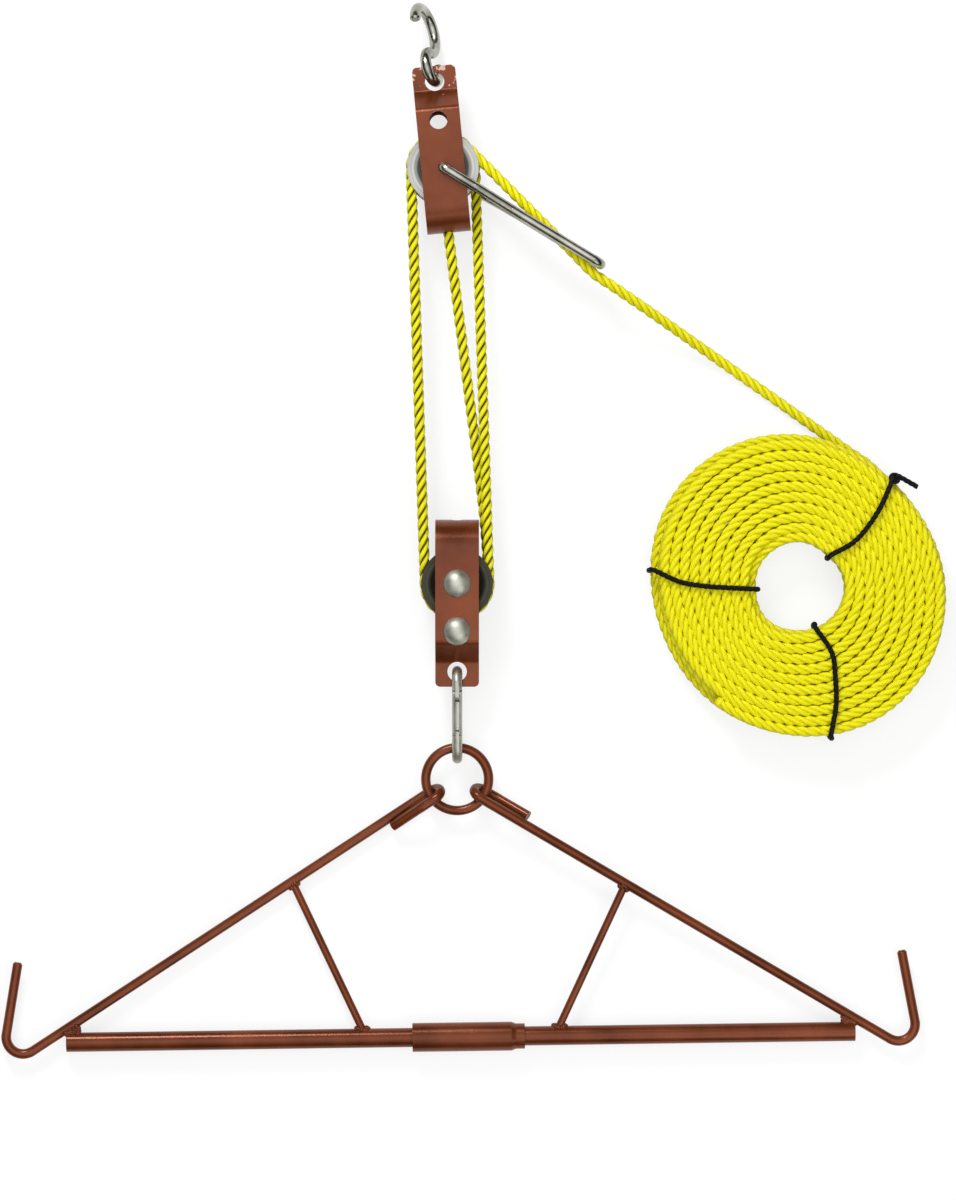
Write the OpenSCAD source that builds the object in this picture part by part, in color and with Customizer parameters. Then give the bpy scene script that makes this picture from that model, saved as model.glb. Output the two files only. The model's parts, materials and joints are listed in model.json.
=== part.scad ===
// Gambrel hoist kit: two double sheave blocks reeved with one rope, a rope lock, a hook, a snap link
// and a take-apart gambrel, laid out flat with the spare rope coiled beside it.
// X runs to the right, Y from the gambrel to the hook, Z up from the surface that it lies on.

/* [Rope] */
// Diameter of the rope
rope_d = 9; // [7:0.5:10]
// Room between the straight falls and the edge of a strap
fall_room = 4; // [3:0.5:8]
// Diameter of the cord that ties the coil
tie_d = 4; // [3:0.5:5]
// Outer radius of the coil
coil_r = 124; // [112:1:135]
// How far the coil's outline bulges and flattens
coil_oval = 5.7; // [0:0.1:6]
// Radius of the hole in the coil
coil_hole_r = 35.5; // [30:0.5:45]
// Turns in each of the four layers of the coil
layer_turns = 5.5; // [3.5:1:5.5]

/* [Sheaves] */
// Height of the rims above the middle of the rope
rim_h = 3; // [2:0.5:4]
// Width of a sheave across its rims
sheave_w = 16; // [14:0.5:20]
// Diameter of the axles, and of the wire of the rope lock
axle_d = 8; // [6:0.5:9]
// Thickness of the hub wall
hub_wall = 5; // [3:0.5:7]
// Depth of the hollow in each face of a sheave
dish_depth = 2.5; // [1:0.25:3.5]
// Outer diameter of the washers
washer_d = 20; // [16:1:24]
// Thickness of the washers beside the plates
side_washer_t = 1.7; // [1:0.1:3]
// Thickness of the washer between the sheaves
mid_washer_t = 3.4; // [2:0.1:5]

/* [Block straps] */
// Width of the strap
strap_w = 36; // [30:1:42]
// Thickness of the strap
strap_t = 3; // [2:0.25:4]
// Room between the rope on a sheave and the pin hole
pin_room = 0.5; // [0.5:0.5:6]
// Diameter of the open pin hole in the upper strap
pin_hole_d = 15; // [10:0.5:18]
// Pin hole to the start of the joggle
pin_to_joggle = 9; // [9:0.5:14]
// Length of the joggle that brings the plates together
joggle_l = 16; // [12:0.5:24]
// Bend radius of the joggle at the middle of the strap
joggle_r = 5; // [3:0.5:8]
// Start of the tab to its hole
tab_lead = 8.5; // [8.5:0.5:14]
// Tab hole to the end of the tab
tab_edge = 12.5; // [11:0.5:16]
// Diameter of the tab hole
tab_hole_d = 16; // [15:0.5:16.5]
// Corner radius of the tab
tab_corner_r = 4; // [1:0.5:8]

/* [Block bolts] */
// Diameter of the domed bolt heads
head_d = 23; // [18:0.5:26]
// Height of the domed bolt heads
head_h = 6; // [4:0.5:8]
// Nut size across its corners
nut_d = 15; // [12:0.5:18]
// Height of the nuts
nut_h = 6; // [4:0.5:7]
// Bolt end past the nut
bolt_end = 1.5; // [0.5:0.25:2]
// Outer diameter of the spacer tube on the clamp bolt
spacer_d = 13; // [11:0.5:15]

/* [Rope lock] */
// Axle to the end of the rope lock
lock_reach = 156; // [130:1:180]
// Axle to the point where the legs come together
lock_neck = 67; // [60:1:80]
// Axle to the point where the legs turn in
lock_shoulder = 32; // [28:1:40]
// Bend radius of the rope lock wire
lock_bend_r = 12; // [9:0.5:14]
// Angle of the rope lock below level
lock_angle = 31.4; // [25:0.1:33]

/* [Hook] */
// Diameter of the hook wire
hook_wire_d = 9; // [7:0.5:9]
// Radius of the open loop at the middle of the wire
hook_mouth_r = 19.5; // [15:0.5:24]
// Sweep of the open loop
hook_mouth_sweep = 250; // [220:1:265]
// Sweep of the loop in the tab
hook_eye_sweep = 285; // [270:1:295]

/* [Snap link] */
// Diameter of the link wire
link_wire_d = 8.5; // [7:0.5:9]
// Length of the link
link_l = 82.5; // [80:0.5:100]
// Width of the link
link_w = 32.5; // [31:0.5:36]
// Pivot to the free end of the gate
gate_l = 33; // [31:0.5:34]
// Diameter of the gate pin
gate_pin_d = 3; // [2:0.25:3.5]
// Thickness of the tongues that the gate closes on
tongue_t = 3.4; // [2.5:0.1:4]
// Diameter of the spring in the gate
gate_spring_d = 3; // [2:0.25:3.5]
// Length of the spring in the gate
gate_spring_l = 11; // [6:0.5:14]

/* [Gambrel] */
// Diameter of the arm rod and of the ring wire
rod_d = 8; // [6:0.5:10]
// Outer diameter of the ring
ring_d = 60; // [56:1:75]
// Tube line to the middle of the ring
ring_rise = 213.5; // [190:0.5:230]
// Middle of the gambrel to the outer end of a tube
tube_half = 326.5; // [280:0.5:360]
// Outer diameter of the tubes
tube_d = 16; // [14:0.5:18]
// Wall of the tubes
tube_wall = 1.5; // [1:0.25:2.5]
// Outer diameter of the sleeve
sleeve_d = 24; // [23.5:0.5:28]
// Room between the left tube and the sleeve
sleeve_room = 1.5; // [1.5:0.1:2]
// Middle of the gambrel to the open end of the sleeve
sleeve_left = 40; // [36:0.5:50]
// Middle of the gambrel to the swaged end of the sleeve
sleeve_right = 53; // [45:0.5:60]
// Length of the swaged end of the sleeve
swage_l = 11; // [8:0.5:16]
// Length of the full left tube inside the sleeve
nose_lead = 4; // [2:0.5:4]
// Length of the tapered nose of the left tube
nose_l = 20; // [14:0.5:20]
// Diameter of the nose at its tip
nose_d = 10; // [8:0.5:11]
// Diameter of the braces
brace_d = 6.4; // [5:0.2:8]
// Middle of the gambrel to the top of a brace
brace_top = 138; // [110:1:170]
// Middle of the gambrel to the foot of a brace
brace_foot = 78; // [65:1:100]
// Tube end to the tip of the hooked end
tip_reach = 39.5; // [34:0.5:50]
// Tube line to the tip of the hooked end
tip_rise = 65.5; // [55:0.5:80]
// Lean of the hooked end towards the middle
tip_lean = 10; // [0:1:15]
// Bend radius of the hooked end
tip_bend_r = 14; // [12:0.5:16]
// Length of the tail that lies along the arm
tail_l = 40; // [34:1:60]
// Twist of the eye about its arm
eye_twist = 22; // [10:1:26]

/* [Layout] */
// Lower axle to upper axle along the falls
axle_gap = 342; // [300:1:500]
// How far the upper axle lies to the left
axle_shift = 11.6; // [5:0.1:15]
// Turn of the upper block
upper_tilt = 5.5; // [3:0.1:5.5]
// Turn of the hook from the upper block
hook_turn = 5; // [0:1:10]
// Turn of the gambrel about the middle of its ring, as it lies
gambrel_turn = 0.8; // [0:0.1:1.5]
// Height of the ring above the surface
ring_h = 15; // [15:0.5:18]

/* [Hidden] */
$fn = 48;

// Colours
paint = [0.50, 0.25, 0.14];
zinc = [0.80, 0.80, 0.77];
iron = [0.24, 0.24, 0.20];
yellow = [0.93, 0.88, 0.08];
black_cord = [0.06, 0.06, 0.07];

// Clearances
run_gap = 0.15;    // between a turning face and the next one
pin_gap = 0.05;    // around an axle or a pin
seat_gap = 0.05;   // between pieces that are welded
rope_gap = 0.3;    // around the rope
loose_gap = 0.4;   // between links that hang in each other
lock_gap = 0.5;    // between the rope lock and the plates
lock_room = 1;     // between the rope and the legs of the rope lock
floor_gap = 0.5;   // under the rope lock
strap_split = 0.3; // between the two ends of a strap
cut = 1;           // how far a cutting shape runs past what it cuts
bend_lap = 0.3;    // how far a straight bar runs into its bends
bend_step = 0.12;  // how much thicker a bend is than its bar on each side
fold_step = 0.02;  // the same for a strap

// Block sizes
rope_r = rope_d / 2;
axle_r = axle_d / 2;
pitch_r = strap_w / 2 + rope_r + fall_room;
sheave_r = pitch_r + rim_h;
bore_r = axle_r + pin_gap;
groove_r = rope_r + rope_gap;
rim_lip = 1.1;
web_edge = 3.5;
sheave_off = mid_washer_t / 2 + run_gap + sheave_w / 2;
plate_in = sheave_off + sheave_w / 2 + 2 * run_gap + side_washer_t;
plate_out = plate_in + strap_t;
axle_to_bend = sheave_r + cut / 2;
axle_to_pin = pitch_r + rope_r + pin_room + pin_hole_d / 2;
joggle_at = axle_to_pin + pin_to_joggle;
tab_at = joggle_at + joggle_l;
tab_hole_at = tab_at + tab_lead;
tab_end = tab_hole_at + tab_edge;
block_z = plate_out + lock_gap + axle_d + floor_gap;
front_z = block_z + sheave_off;
rear_z = block_z - sheave_off;

// Gambrel sizes, in a frame with the middle of the ring at its origin
rod_r = rod_d / 2;
tube_r = tube_d / 2;
ring_r = ring_d / 2 - rod_r;
lie_pitch = asin((ring_h - sleeve_d / 2) / ring_rise);
weld_bite = 2;
arm_end_y = -ring_rise + tube_r + rod_r - weld_bite + cut;
arm_angle = atan(-arm_end_y / tube_half);
eye_r = (rod_d + loose_gap) / cos(eye_twist);
eye_bend_r = 0.87 * eye_r;
past_ring = 1.1;
tail_bend_r = 2 * rod_d;
tail_turn = 60;

// The snap link hangs in the tab hole, and the ring in the link
link_r = (link_w - link_wire_d) / 2;
link_span = link_l - link_wire_d;
link_drop = block_z - ring_h - ring_r * sin(lie_pitch);
link_to_ring = link_span - (rod_d + link_wire_d) / 2 - loose_gap;
link_dip = asin(link_drop / link_to_ring);
link_wire_r = link_wire_d / 2;
gate_at = link_r + link_wire_r + 2 * loose_gap;
gate_end = gate_at + gate_l;
nose_at = gate_end + 1.5 * loose_gap;
slot_l = 4.5;
slot_w = tongue_t + 1.5 * loose_gap;
ring_below = tab_hole_at + link_to_ring * cos(link_dip) + ring_r * cos(lie_pitch);

// The hook hangs in the upper tab hole
hook_eye_r = tab_edge;
hook_droop = 12.5;
hook_roll = 20;
hook_yaw = upper_tilt + hook_turn;
hook_dir = [-sin(hook_yaw) * cos(hook_droop), cos(hook_yaw) * cos(hook_droop), -sin(hook_droop)];
hook_up = [-sin(hook_yaw) * sin(hook_droop), cos(hook_yaw) * sin(hook_droop), cos(hook_droop)];
hook_front = cos(hook_roll) * hook_up + sin(hook_roll) * [-cos(hook_yaw), -sin(hook_yaw), 0];
hook_normal = cross(hook_dir, hook_front);

// The origin is under the middle of the object, so the lower axle is found from both ends
hook_top = axle_gap + tab_hole_at * cos(upper_tilt) + (2 * hook_eye_r + hook_mouth_r) * hook_dir[1]
    + hook_mouth_r * sqrt(1 - pow(hook_normal[1], 2)) + hook_wire_d / 2;
gambrel_foot = -ring_below - ring_rise * cos(lie_pitch) - sleeve_d / 2;
low_y = -(hook_top + gambrel_foot) / 2;
low_axle = [0, low_y, block_z];
top_axle = [-axle_shift, low_y + axle_gap, block_z];
ring_centre = [0, low_y - ring_below, ring_h];
low_tab_hole = low_axle - [0, tab_hole_at, 0];
top_tab_hole = top_axle + tab_hole_at * [-sin(upper_tilt), cos(upper_tilt), 0];

// The rope leaves the sheaves along the line of the axles, and the upper front one at haul_angle
fall_lean = atan(axle_shift / axle_gap);
haul_angle = 45;
becket = top_axle + (axle_to_bend + plate_out) * [sin(upper_tilt), -cos(upper_tilt), 0];
knee = [strap_w / 2 + rope_r + lock_gap, axle_to_bend + plate_out];
knee_r = 60;
first_angle = atan2(knee[1], knee[0]) - acos(pitch_r / norm(knee));

// The hauling part of the rope, from the upper block through the rope lock to the coil
coil_centre = [281.5, -48.8];
haul_route = [[7.1, 314.2, 41.7], [24, 297.3, 41.7], [42, 279.3, 41.7], [60, 261.3, 41.7], [78, 243.3, 41.7],
    [96, 225.3, 41.7], [112, 209.3, 41.4], [130, 197.2, 39.5], [150, 183.8, 34], [170, 170.4, 26],
    [190, 156.9, 17.5], [210, 143.3, 10.5], [230, 129.6, 6], [250, 115.7, 4.7], [270, 101.7, 4.6],
    [290, 87.5, 4.8], [310, 73.3, 6], [326, 62, 7.8], [340.1, 52.3, 8.9]];
haul_sides = 10;

// Coil
coil_top_layer = 3;
coil_sides = 6;
coil_steps = 24;
climb_turns = 0.5;
layer_gap = 0.5;
layer_h = rope_d + layer_gap;
turn_out = coil_r - rope_r;
turn_in = coil_hole_r + rope_r;
turn_step = (turn_out - turn_in) / layer_turns;
coil_turns = (coil_top_layer + 1) * layer_turns + coil_top_layer * climb_turns;
coil_floor = tie_d + loose_gap + rope_r;
coil_roof = coil_floor + coil_top_layer * layer_h + rope_r + loose_gap;
coil_start = 55.5;
oval_angle = 128;
tie_room = rope_r + loose_gap + tie_d / 2;
tie_bend_r = 7;
tie_angles = [178, 48, -77];
tie_tail_l = 20;

function unit(v) = v / norm(v);
function flat(v) = [v[0], v[1]];
function side_of(d) = abs(d[0]) < 0.5 ? unit([1, 0, 0] - d * d[0]) : unit([0, 0, 1] - d * d[2]);
function bend_at(points, i) = acos(unit(points[i] - points[i - 1]) * unit(points[i + 1] - points[i]));
function cross_2d(a, b) = a[0] * b[1] - a[1] * b[0];
function polar(r, angle, z = 0) = [r * cos(angle), r * sin(angle), z];
function eased(x) = x * x * (3 - 2 * x);

// Puts its children at o, with their X along x and their Z along z
module frame_at(o, x, z) {
    y = cross(z, x);
    multmatrix([[x[0], y[0], z[0], o[0]], [x[1], y[1], z[1], o[1]], [x[2], y[2], z[2], o[2]], [0, 0, 0, 1]])
        children();
}

// A section run straight from p to q
module straight(p, q) {
    d = unit(q - p);
    frame_at(p, side_of(d), d) linear_extrude(norm(q - p)) children();
}

// A section run round the corner v on a radius
module elbow(p, v, q, r) {
    a = unit(v - p);
    b = unit(q - v);
    bend = acos(a * b);
    n = unit(b - a * (a * b));
    frame_at(v - a * r * tan(bend / 2) + n * r, -n, cross(-n, a))
        rotate_extrude(angle = bend) translate([r, 0]) children();
}

// A bent bar through points: the first child is its section on the flats, the second one in the bends
module bent(points, radii) {
    last = len(points) - 1;
    back = [for (i = [0:last]) i == 0 || i == last ? 0 : radii[i - 1] * tan(bend_at(points, i) / 2)];
    for (i = [0:last - 1])
        let (d = unit(points[i + 1] - points[i]))
            straight(points[i] + d * (i == 0 ? 0 : back[i] - bend_lap),
                points[i + 1] - d * (i == last - 1 ? 0 : back[i + 1] - bend_lap)) children(0);
    for (i = [1:1:last - 1])
        elbow(points[i - 1], points[i], points[i + 1], radii[i - 1]) children(1);
}

module rod(points, radii, d) {
    bent(points, radii) {
        circle(d = d);
        circle(d = d + 2 * bend_step);
    }
}

// The chamfered end of a rod
module rod_end(p, dir, d) {
    chamfer = 0.16;
    frame_at(p - bend_lap * dir, side_of(dir), dir)
        cylinder(h = chamfer * d + bend_lap, d1 = d - 2 * bend_step, d2 = (1 - 2 * chamfer) * d);
}

// A tube of rings along a path of points
module swept_tube(path, r, sides) {
    last = len(path) - 1;
    rings = [for (i = [0:last])
        let (t = unit(path[min(i + 1, last)] - path[max(i - 1, 0)]),
            s = unit(cross(t, [0, 0, 1])),
            u = cross(s, t))
        for (k = [0:sides - 1]) path[i] + r * (cos(360 * k / sides) * s + sin(360 * k / sides) * u)];
    walls = [for (i = [0:last - 1], k = [0:sides - 1])
        let (a = i * sides + k, b = i * sides + (k + 1) % sides)
        each [[a, a + sides, b], [b, a + sides, b + sides]]];
    end = last * sides;
    caps = [for (k = [1:sides - 2]) each [[0, k, k + 1], [end, end + k + 1, end + k]]];
    polyhedron(rings, concat(walls, caps));
}

// Block frames: X across the strap, Y from the axle to the tab, Z through the plates
module at_upper_block() {
    translate(top_axle) rotate(upper_tilt) children();
}

module at_lower_block() {
    translate(low_axle) rotate(180) children();
}

module strap_outline() {
    foot = axle_to_bend + plate_out + cut;
    difference() {
        translate([-strap_w / 2, -foot]) square([strap_w, foot + tab_end]);
        for (side = [0, 1])
            mirror([side, 0])
                translate([strap_w / 2 - tab_corner_r, tab_end - tab_corner_r])
                    difference() {
                        square(tab_corner_r + cut);
                        circle(tab_corner_r);
                    }
    }
}

// One strap: two plates from a closed bend, brought together into a tab
module strap(hole_d, becket_d) {
    plate_mid = plate_in + strap_t / 2;
    tab_mid = (strap_t + strap_split) / 2;
    difference() {
        intersection() {
            linear_extrude(2 * plate_out + cut, center = true) strap_outline();
            union() {
                for (rear = [0, 1])
                    mirror([0, 0, rear])
                        bent([[0, tab_end + cut, tab_mid], [0, tab_at, tab_mid], [0, joggle_at, plate_mid],
                            [0, -axle_to_bend - bend_lap, plate_mid]], [joggle_r, joggle_r]) {
                            square([strap_w + cut, strap_t], center = true);
                            square([strap_t + 2 * fold_step, strap_w + cut], center = true);
                        }
                frame_at([0, -axle_to_bend, 0], [0, 0, 1], [1, 0, 0])
                    rotate_extrude(angle = 180) translate([plate_mid, 0])
                        square([strap_t + 2 * fold_step, strap_w + cut], center = true);
            }
        }
        cylinder(h = 2 * plate_out + cut, r = axle_r + 2 * pin_gap, center = true);
        translate([0, axle_to_pin, 0]) cylinder(h = 2 * plate_out + cut, d = hole_d, center = true);
        translate([0, tab_hole_at, 0]) cylinder(h = 4 * strap_t, d = tab_hole_d, center = true);
        translate([0, -axle_to_bend - plate_in + cut, 0]) rotate([90, 0, 0])
            cylinder(h = strap_t + 2 * cut, d = becket_d);
    }
}

module sheave() {
    hub_r = bore_r + hub_wall;
    web_r = pitch_r - groove_r - web_edge;
    rotate_extrude() difference() {
        translate([bore_r, -sheave_w / 2]) square([sheave_r - bore_r, sheave_w]);
        translate([pitch_r, 0]) circle(groove_r);
        polygon([[pitch_r, -groove_r], [sheave_r + cut, -groove_r - rim_lip],
            [sheave_r + cut, groove_r + rim_lip], [pitch_r, groove_r]]);
        for (face = [0, 1])
            mirror([0, face])
                translate([hub_r, sheave_w / 2 - dish_depth]) square([web_r - hub_r, dish_depth + cut]);
    }
}

module washer(t) {
    difference() {
        cylinder(h = t, d = washer_d, center = true);
        cylinder(h = t + cut, r = bore_r, center = true);
    }
}

module washer_set() {
    washer(mid_washer_t);
    for (side = [-1, 1])
        translate([0, 0, side * (plate_in - run_gap - side_washer_t / 2)]) washer(side_washer_t);
}

// A bolt with a domed head on the front plate
module domed_bolt() {
    dome_r = (pow(head_d / 2, 2) + pow(head_h, 2)) / (2 * head_h);
    translate([0, 0, plate_out]) rotate_extrude() intersection() {
        translate([0, head_h - dome_r]) circle(dome_r);
        square([head_d / 2, head_h]);
    }
    translate([0, 0, -plate_out - nut_h - bolt_end])
        cylinder(h = 2 * plate_out + nut_h + bolt_end, d = axle_d);
}

module nut() {
    translate([0, 0, -plate_out - nut_h]) difference() {
        cylinder(h = nut_h, d = nut_d, $fn = 6);
        translate([0, 0, -cut]) cylinder(h = nut_h + 2 * cut, r = bore_r);
    }
}

module upper_strap() {
    color(paint) at_upper_block() strap(pin_hole_d, rope_d + 4 * rope_gap);
}

module lower_strap() {
    color(paint) at_lower_block() strap(axle_d + 4 * pin_gap, rope_d + 4 * rope_gap);
}

module upper_front_sheave() {
    color(zinc) translate([0, 0, sheave_off]) translate(top_axle) sheave();
}

module upper_rear_sheave() {
    color(zinc) translate([0, 0, -sheave_off]) translate(top_axle) sheave();
}

module lower_front_sheave() {
    color(iron) translate([0, 0, sheave_off]) translate(low_axle) sheave();
}

module lower_rear_sheave() {
    color(iron) translate([0, 0, -sheave_off]) translate(low_axle) sheave();
}

module upper_washers() {
    color(zinc) translate(top_axle) washer_set();
}

module lower_washers() {
    color(zinc) translate(low_axle) washer_set();
}

module axle_bolt() {
    color(zinc) at_lower_block() domed_bolt();
}

module axle_nut() {
    color(zinc) at_lower_block() nut();
}

module at_clamp() {
    at_lower_block() translate([0, axle_to_pin, 0]) children();
}

module clamp_bolt() {
    color(zinc) at_clamp() domed_bolt();
}

module clamp_nut() {
    color(zinc) at_clamp() nut();
}

module clamp_spacer() {
    color(zinc) at_clamp() difference() {
        cylinder(h = 2 * plate_in, d = spacer_d, center = true);
        cylinder(h = 2 * plate_in + cut, r = bore_r, center = true);
    }
}

// A wire loop whose two inward ends are the axle of the upper sheaves
module rope_lock() {
    leg = plate_out + lock_gap + axle_r;
    half = rope_r + lock_room + axle_r;
    end_s = lock_reach - axle_r;
    split = 0.5;
    sides = [[0, -split], [0, -leg], [lock_shoulder, -leg], [lock_neck, sheave_off - half],
        [end_s, sheave_off - half], [end_s, sheave_off + half], [lock_neck, sheave_off + half],
        [lock_shoulder, leg], [0, leg], [0, split]];
    points = [for (p = sides) [p[0], 0, p[1]]];
    axle_bend_r = leg - plate_out - 2 * pin_gap;
    end_r = 0.8 * half;
    bends = [axle_bend_r, lock_bend_r, lock_bend_r, end_r, end_r, lock_bend_r, lock_bend_r, axle_bend_r];
    color(zinc) translate(top_axle) rotate(-lock_angle)
        rod(points, bends, axle_d);
}

// Two loops that turn opposite ways: the first is in the tab, the second is open
module s_hook() {
    eye_at = [hook_eye_r, 0, 0];
    open_at = [2 * hook_eye_r + hook_mouth_r, 0, 0];
    open_end = 180 + hook_mouth_sweep;
    color(zinc) frame_at(top_tab_hole, hook_dir, hook_normal) {
        translate(eye_at) rotate_extrude(angle = hook_eye_sweep)
            translate([hook_eye_r, 0]) circle(d = hook_wire_d);
        translate(open_at) rotate(180) rotate_extrude(angle = hook_mouth_sweep)
            translate([hook_mouth_r, 0]) circle(d = hook_wire_d);
        rod_end(eye_at + polar(hook_eye_r, hook_eye_sweep), polar(1, hook_eye_sweep + 90), hook_wire_d);
        rod_end(open_at + polar(hook_mouth_r, open_end), polar(1, open_end + 90), hook_wire_d);
    }
}

// Link frame: X from the tab hole to the ring, Y towards the gate, Z across the link
module at_link() {
    along = [0, -cos(link_dip), -sin(link_dip)];
    up = [0, -sin(link_dip), cos(link_dip)];
    frame_at(low_tab_hole, along, cross(along, up)) children();
}

// A slab along the gate, of a thickness and a height
module gate_slab(from, to, t, h) {
    translate([from, -h / 2, -t / 2]) cube([to - from, h, t]);
}

module link_body() {
    pivot_tongue_r = link_wire_r - pin_gap * 5;
    nose_tongue_l = slot_l - 2 * loose_gap;
    color(zinc) at_link() difference() {
        union() {
            for (far = [0, 1])
                translate([far == 0 ? link_r : link_span - link_r, 0, 0]) rotate(far == 0 ? 90 : -90)
                    rotate_extrude(angle = 180) translate([link_r, 0]) circle(d = link_wire_d);
            straight([link_r, -link_r, 0], [link_span - link_r, -link_r, 0]) circle(d = link_wire_d);
            straight([nose_at, link_r, 0], [link_span - link_r, link_r, 0]) circle(d = link_wire_d);
            translate([0, link_r, 0]) {
                intersection() {
                    straight([link_r, 0, 0], [nose_at, 0, 0]) circle(d = link_wire_d);
                    union() {
                        gate_slab(link_r, gate_at, tongue_t, 2 * pivot_tongue_r);
                        translate([gate_at, 0, -tongue_t / 2]) cylinder(h = tongue_t, r = pivot_tongue_r);
                        gate_slab(nose_at - nose_tongue_l, nose_at, tongue_t, link_wire_d);
                    }
                }
            }
        }
        translate([gate_at, link_r, 0])
            cylinder(h = link_wire_d + cut, d = gate_pin_d + 2 * pin_gap, center = true);
    }
}

module link_gate() {
    fork_l = link_wire_r + loose_gap;
    color(zinc) at_link() translate([0, link_r, 0]) difference() {
        intersection() {
            straight([link_r, 0, 0], [gate_end, 0, 0]) circle(d = link_wire_d);
            union() {
                translate([gate_at, 0, 0]) cylinder(h = link_wire_d, r = link_wire_r, center = true);
                gate_slab(gate_at, gate_end, link_wire_d, link_wire_d);
            }
        }
        gate_slab(0, gate_at + fork_l, slot_w, link_wire_d + cut);
        gate_slab(gate_end - slot_l, gate_end + cut, slot_w, link_wire_d + cut);
        translate([gate_at, 0, 0]) cylinder(h = link_wire_d + cut, d = gate_pin_d, center = true);
        straight([gate_at, 0, 0], [gate_at + fork_l + gate_spring_l, 0, 0])
            circle(d = gate_spring_d + 2 * pin_gap);
    }
}

module gate_pin() {
    color(zinc) at_link() translate([gate_at, link_r, 0]) intersection() {
        cylinder(h = link_wire_d, d = gate_pin_d, center = true);
        straight([-link_r, 0, 0], [link_r, 0, 0]) circle(d = link_wire_d);
    }
}

module gate_spring() {
    start = gate_at + link_wire_r;
    spring_wall = 0.5;
    color(zinc) at_link() translate([0, link_r, 0])
        straight([start, 0, 0], [start + gate_spring_l + loose_gap, 0, 0]) difference() {
            circle(d = gate_spring_d);
            circle(d = gate_spring_d - 2 * spring_wall);
        }
}

module at_gambrel() {
    translate(ring_centre) rotate([lie_pitch, 0, gambrel_turn]) children();
}

// The points of an arm: tail, three about the ring, hooked end. Side is -1 on the left and 1 on the right
function arm_points(side) =
    let (out = [side * cos(arm_angle), -sin(arm_angle), 0],
        below = [-side * sin(arm_angle), -cos(arm_angle), 0],
        over = -side * (cos(eye_twist) * [0, 0, 1] + sin(eye_twist) * below),
        wire = ring_r * out,
        near = wire - eye_r * (out + over),
        far = wire - eye_r * (out - over),
        tip = [side * (tube_half + tip_reach), -ring_rise + tip_rise],
        leg = [side * sin(tip_lean), -cos(tip_lean)],
        along = unit(flat([side * tube_half, arm_end_y]) - flat(near)),
        reach = cross_2d(tip - flat(near), leg) / cross_2d(along, leg),
        corner = flat(near) + reach * along,
        low = [corner[0], corner[1], 0],
        beside = -side * (cos(tail_turn) * [0, 0, 1] + sin(tail_turn) * below),
        past = wire + eye_r * (past_ring * out + over),
        tail = near + (tail_l + eye_r) * unit(low - near) + (rod_d + loose_gap) * beside)
    [tail, past, far, near, low, [tip[0], tip[1], 0]];

module arm(side) {
    points = arm_points(side);
    rod(points, [tail_bend_r, eye_bend_r, eye_bend_r, tip_bend_r], rod_d);
    rod_end(points[5], unit(points[5] - points[4]), rod_d);
}

// The room that a welded tube or brace leaves for the arm
module arm_room(side) {
    points = arm_points(side);
    straight(points[3], points[4]) circle(d = rod_d + 2 * seat_gap);
}

module brace(side) {
    points = arm_points(side);
    arm_dir = points[4] - points[3];
    top = points[3] + arm_dir * (side * brace_top - points[3][0]) / arm_dir[0];
    foot = [side * brace_foot, -ring_rise, 0];
    difference() {
        straight(foot, top) circle(d = brace_d);
        arm_room(side);
        straight(foot - [brace_foot, 0, 0], foot + [brace_foot, 0, 0]) circle(d = tube_d + 2 * seat_gap);
    }
}

module gambrel_ring() {
    color(paint) at_gambrel() rotate_extrude() translate([ring_r, 0]) circle(d = rod_d);
}

module left_arm() {
    color(paint) at_gambrel() arm(-1);
}

module right_arm() {
    color(paint) at_gambrel() arm(1);
}

module left_brace() {
    color(paint) at_gambrel() brace(-1);
}

module right_brace() {
    color(paint) at_gambrel() brace(1);
}

// Puts a shape that is turned about Z on the tube line, with its Z along X
module on_tube_line(x) {
    translate([x, -ring_rise, 0]) rotate([90, 0, 90]) children();
}

// A tube whose inner end is swaged to a taper, so that it swings out of the sleeve
module left_tube() {
    body_l = tube_half - sleeve_left + nose_lead;
    nose_r = nose_d / 2;
    color(paint) at_gambrel() difference() {
        on_tube_line(-tube_half) rotate_extrude()
            polygon([[tube_r - tube_wall, 0], [tube_r, 0], [tube_r, body_l], [nose_r, body_l + nose_l],
                [nose_r - tube_wall, body_l + nose_l], [tube_r - tube_wall, body_l]]);
        arm_room(-1);
    }
}

module right_tube() {
    tube_start = 2;
    color(paint) at_gambrel() difference() {
        on_tube_line(tube_start) difference() {
            cylinder(h = tube_half - tube_start, d = tube_d);
            translate([0, 0, -cut]) cylinder(h = tube_half + cut, r = tube_r - tube_wall);
        }
        arm_room(1);
    }
}

// A sleeve with a free bore on the left and a swaged end that holds the right tube
module centre_sleeve() {
    sleeve_l = sleeve_left + sleeve_right;
    sleeve_r = sleeve_d / 2;
    free_r = tube_r + sleeve_room;
    grip_r = tube_r + seat_gap;
    neck_r = grip_r + sleeve_r - free_r;
    swage_at = sleeve_l - swage_l;
    taper = swage_l / 3;
    color(paint) at_gambrel() on_tube_line(-sleeve_left) rotate_extrude()
        polygon([[free_r, 0], [sleeve_r, 0], [sleeve_r, swage_at], [neck_r, swage_at + taper],
            [neck_r, sleeve_l], [grip_r, sleeve_l], [grip_r, swage_at + taper], [free_r, swage_at]]);
}

// Rope round a sheave, between two angles
module wrap(axle, z, from, to) {
    color(yellow) translate([axle[0], axle[1], z]) rotate(from)
        rotate_extrude(angle = to - from) translate([pitch_r, 0]) circle(d = rope_d);
}

module upper_front_wrap() {
    wrap(top_axle, front_z, haul_angle, 180 + fall_lean);
}

module upper_rear_wrap() {
    wrap(top_axle, rear_z, fall_lean, 180 + fall_lean);
}

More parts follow.
